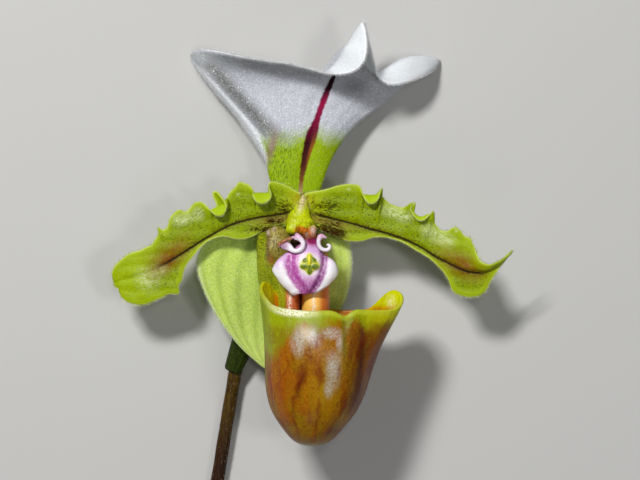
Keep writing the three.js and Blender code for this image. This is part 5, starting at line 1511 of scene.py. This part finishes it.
def build_column(sizes, colours):
    vertices, faces, normals = fused("column", COLUMN_PARTS, voxel=0.13, smoothing=60)
    add_piece("column_body", (vertices, faces), column_material(colours), ["column"])
    draw = draws(sizes, "column")
    for name, count, low, root, tip in COLUMN_HAIRS:
        weight = smoothstep(low, low + 1.6, vertices[:, 1]) * smoothstep(-0.4, 0.3, normals[:, 2])
        chosen = draw.choice(len(vertices), count, p=weight / weight.sum())
        lean = normals[chosen] + np.array((0, 0.4, 0.2)) + draw.normal(0, 0.3, (count, 3))
        lengths = varied(draw, count, sizes.beard * 0.5)
        hairs = spikes(vertices[chosen], lean, lengths, radius=0.02, bend=0.3, draw=draw)
        add_piece(name, hairs, hair_material(name + "_skin", root, tip))


def frames_along(route):
    """Directions across a route: sideways, and away from the surface that it lies on."""
    tangent = unit(np.gradient(route, axis=0))
    sideways = unit(np.cross((0, 0, 1), tangent))
    return sideways, np.cross(tangent, sideways)


def skin_round(route, reach, turns):
    """Rows of points round a route, at the given distances and angles from it."""
    sideways, upwards = frames_along(route)
    across, away = np.cos(turns)[..., None], np.sin(turns)[..., None]
    return route[:, None] + reach[..., None] * (sideways[:, None] * across + upwards[:, None] * away)


def ovary_line(share):
    x, y, z, radius = tracks(OVARY, share)
    return np.stack([x, y, z], -1), radius


def build_ovary(sizes, colours):
    count, sides = RINGS["ovary"]
    route, radius = ovary_line(evenly(count))
    around = angles_round(sides)
    ribbed = radius[:, None] * (1 + OVARY_RIB_HEIGHT * np.cos(OVARY_RIBS * around))
    body = rings_solid(skin_round(route, ribbed, around))
    receptacle = fused("receptacle", [RECEPTACLE], voxel=0.16, smoothing=2)
    material = stalk_material("downy_ovary", colours.ovary, srgb(74, 78, 36), srgb(120, 90, 70), 1.6)
    add_piece("ovary_body", joined(body, receptacle), material, ["ovary"])
    add_stalk_hairs("ovary_hairs", route, radius, sizes)


def add_stalk_hairs(name, route, radius, sizes):
    """Short pale hairs all round a stalk, but none into the surface that it lies on."""
    draw, count = draws(sizes, name), HAIRS[name]
    sideways, upwards = frames_along(route)
    k = draw.integers(1, len(route) - 1, count)
    turn = draw.uniform(0, 2 * math.pi, (count, 1))
    out = sideways[k] * np.cos(turn) + upwards[k] * np.sin(turn)
    points = route[k] + (route[k + 1] - route[k]) * draw.random((count, 1)) + out * radius[k, None] * 0.97
    lowest = -FLOWER_CENTRE[2] + HAIR_CLEARANCE
    lean = out + draw.normal(0, 0.3, (count, 3))
    lengths = varied(draw, count, sizes.stem_hair)
    clear = points[:, 2] + unit(lean)[:, 2] * lengths * 1.2 > lowest
    hairs = spikes(points[clear], lean[clear], lengths[clear], radius=0.015, bend=0.25, draw=draw)
    add_piece(name, hairs, hair_material(name + "_pale", srgb(150, 122, 88), srgb(226, 214, 196)))


def build_bract(sizes, colours):
    rows, columns = GRIDS["bract"]
    along, across = denser_at_ends(rows), denser_at_ends(columns)
    route, radius = ovary_line(1 + BRACT["foot"] - (BRACT["foot"] + BRACT["reach"]) * along)
    spread = BRACT["half_angle"] * np.sqrt(1 - BRACT["taper"] * along**2)
    angle = BRACT["middle"] + spread[:, None] * (1 - 2 * across)
    gap = BRACT["clear"] + sizes.bract / MM / 2 + BRACT["flare"] * along**2
    reach = radius * (1 + OVARY_RIB_HEIGHT) + gap
    sheet = Sheet(skin_round(route, reach[:, None], math.pi - angle), along, across)
    sheet.raise_by(RIB_HEIGHT * np.cos(BRACT_RIBS * across)[None, :] * np.ones((rows, 1)))
    material = stalk_material("ribbed_bract", colours.bract, srgb(30, 42, 4), srgb(76, 88, 20), 1.4)
    add_piece("bract_sheath", sheet.solid(sizes.bract / MM, 0.5), material, ["bract"])


def build_stem(sizes, colours):
    count, sides = RINGS["stem"]
    steps = np.arange(count)
    knots = np.array(STEM)
    lengths = np.insert(np.cumsum(np.linalg.norm(np.diff(knots, axis=0), axis=1)), 0, 0)
    route = spline(lengths, knots, np.linspace(0, lengths[-1], count))
    at_end = np.minimum(steps, steps[::-1]) == 0
    radius = STEM_RADIUS * np.where(at_end, 0.9, 1) * (1 + 0.02 * np.sin(steps * 0.35))
    skin = skin_round(route, radius[:, None], angles_round(sides))
    skin += draws(sizes, "stem").normal(0, 0.008, skin.shape)
    skin[..., 2] = np.maximum(skin[..., 2], -FLOWER_CENTRE[2])
    material = stalk_material("purplish_stem", colours.stem, srgb(34, 16, 4), srgb(84, 56, 20), 2.2,
                              srgb(92, 72, 8))
    add_piece("stem_rod", rings_solid(skin), material, ["stem"])
    add_stalk_hairs("stem_hairs", route, radius, sizes)


# ---- Stage -----------------------------------------------------------------------------------

CAMERA_AIM = (1.4, 19.42)  # where the camera looks straight down, in the row frame
CAMERA_HEIGHT = 489.6
VIEW_WIDTH = 105.6  # millimetres that the frame takes in, at the flower's centre
SENSOR_WIDTH = 36.0
LIGHTS = [  # name, place in millimetres, watts, width and height in millimetres
    ("key_light", (-190, 300, 460), 2.75, 116, 76),
    ("fill_light", (250, -40, 520), 0.42, 76, 96),
    ("low_light", (-60, -330, 260), 0.09, 160, 120),
    ("near_light", (40, 80, 540), 0.16, 36, 60),
]
ROOM_COLOUR = (0.9, 0.93, 1.0, 1)
ROOM_STRENGTH = 0.1
FLOOR_HALF = 1.5  # metres


def build_stage(colours):
    camera = bpy.data.objects.new("camera", bpy.data.cameras.new("camera"))
    camera.location = (CAMERA_AIM[0] * MM, CAMERA_AIM[1] * MM, CAMERA_HEIGHT * MM)
    camera.data.sensor_width = SENSOR_WIDTH
    camera.data.lens = SENSOR_WIDTH * (CAMERA_HEIGHT - FLOWER_CENTRE[2]) / VIEW_WIDTH
    camera.data.clip_start = 0.01
    bpy.context.scene.collection.objects.link(camera)
    bpy.context.scene.camera = camera
    target = Vector(FLOWER_CENTRE) * MM
    for name, place, watts, width, height in LIGHTS:
        light = bpy.data.lights.new(name, "AREA")
        light.shape, light.size, light.size_y, light.energy = "RECTANGLE", width * MM, height * MM, watts
        lamp = bpy.data.objects.new(name, light)
        lamp.location = Vector(place) * MM
        lamp.rotation_euler = (target - lamp.location).to_track_quat("-Z", "Y").to_euler()
        bpy.context.scene.collection.objects.link(lamp)
    world = bpy.data.worlds.new("soft_room")
    world.use_nodes = True
    background = world.node_tree.nodes["Background"]
    background.inputs["Color"].default_value = ROOM_COLOUR
    background.inputs["Strength"].default_value = ROOM_STRENGTH
    bpy.context.scene.world = world
    bpy.context.scene.view_settings.view_transform = "Standard"
    p = Paint("plain_pale_floor")
    soft = p.noise(p.flower(), 0.05, 3)
    shade = p.mix(soft * 0.25, tuple(colours.floor), srgb(196, 195, 192))
    material = p.finish(base_color=shade, roughness=0.75 + soft * 0.1)
    mesh = bpy.data.meshes.new("floor")
    corners = [(x * FLOOR_HALF, y * FLOOR_HALF, 0) for x, y in ((-1, -1), (1, -1), (1, 1), (-1, 1))]
    mesh.from_pydata(corners, [], [(0, 1, 2, 3)])
    mesh.materials.append(material)
    floor = bpy.data.objects.new("floor", mesh)
    bpy.context.scene.collection.objects.link(floor)


# ---- Operators and panel ---------------------------------------------------------------------


def settings(context):
    return context.scene.orchid_sizes, context.scene.orchid_colours


class ORCHID_OT_stage(bpy.types.Operator):
    """Add the floor, the lights and the camera"""

    bl_idname = "orchid.stage"
    bl_label = "Stage"

    def execute(self, context):
        build_stage(context.scene.orchid_colours)
        return {"FINISHED"}


class ORCHID_OT_dorsal_sepal(bpy.types.Operator):
    """Model the hooded white sepal with its midvein and down"""

    bl_idname = "orchid.dorsal_sepal"
    bl_label = "Dorsal sepal"

    def execute(self, context):
        build_dorsal_sepal(*settings(context))
        return {"FINISHED"}


class ORCHID_OT_synsepal(bpy.types.Operator):
    """Model the fused lower sepals behind the lip"""

    bl_idname = "orchid.synsepal"
    bl_label = "Synsepal"

    def execute(self, context):
        build_synsepal(*settings(context))
        return {"FINISHED"}


class ORCHID_OT_petals(bpy.types.Operator):
    """Model the two waved petals with their beards"""

    bl_idname = "orchid.petals"
    bl_label = "Petals"

    def execute(self, context):
        sizes, colours = settings(context)
        build_petal("left_petal", (LEFT_MIDVEIN, LEFT_UPPER, LEFT_LOWER), -1, sizes, colours)
        build_petal("right_petal", (RIGHT_MIDVEIN, RIGHT_UPPER, RIGHT_LOWER), 1, sizes, colours)
        return {"FINISHED"}


class ORCHID_OT_lip(bpy.types.Operator):
    """Model the pouch with its ears and the infolded side lobes"""

    bl_idname = "orchid.lip"
    bl_label = "Lip"

    def execute(self, context):
        build_lip(*settings(context))
        return {"FINISHED"}


class ORCHID_OT_staminode(bpy.types.Operator):
    """Model the shield with its curled horns and green boss"""

    bl_idname = "orchid.staminode"
    bl_label = "Staminode"

    def execute(self, context):
        build_staminode(*settings(context))
        return {"FINISHED"}


class ORCHID_OT_column(bpy.types.Operator):
    """Model the hairy nose, the stigma and the anthers"""

    bl_idname = "orchid.column"
    bl_label = "Column"

    def execute(self, context):
        build_column(*settings(context))
        return {"FINISHED"}


class ORCHID_OT_stalk(bpy.types.Operator):
    """Model the ovary, the bract and the hairy stem"""

    bl_idname = "orchid.stalk"
    bl_label = "Ovary, bract and stem"

    def execute(self, context):
        sizes, colours = settings(context)
        build_ovary(sizes, colours)
        build_bract(sizes, colours)
        build_stem(sizes, colours)
        return {"FINISHED"}


OPERATORS = [
    ORCHID_OT_stage, ORCHID_OT_dorsal_sepal, ORCHID_OT_synsepal, ORCHID_OT_petals, ORCHID_OT_lip,
    ORCHID_OT_staminode, ORCHID_OT_column, ORCHID_OT_stalk,
]


class ORCHID_PT_bloom(bpy.types.Panel):
    """The bloom's pieces and settings"""

    bl_idname = "ORCHID_PT_bloom"
    bl_label = "Slipper Orchid Bloom"
    bl_space_type = "VIEW_3D"
    bl_region_type = "UI"
    bl_category = "Orchid"

    def draw(self, context):
        for operator in OPERATORS:
            self.layout.operator(operator.bl_idname)
        for group in settings(context):
            box = self.layout.box()
            for key in group.__annotations__:
                box.prop(group, key)


CLASSES = [OrchidSizes, OrchidColours, *OPERATORS, ORCHID_PT_bloom]


def register():
    for cls in CLASSES:
        bpy.utils.register_class(cls)
    bpy.types.Scene.orchid_sizes = PointerProperty(type=OrchidSizes)
    bpy.types.Scene.orchid_colours = PointerProperty(type=OrchidColours)


def unregister():
    del bpy.types.Scene.orchid_colours
    del bpy.types.Scene.orchid_sizes
    for cls in reversed(CLASSES):
        bpy.utils.unregister_class(cls)


def main():
    register()
    for operator in OPERATORS:
        group, name = operator.bl_idname.split(".")
        getattr(getattr(bpy.ops, group), name)()


if __name__ == "__main__":
    main()
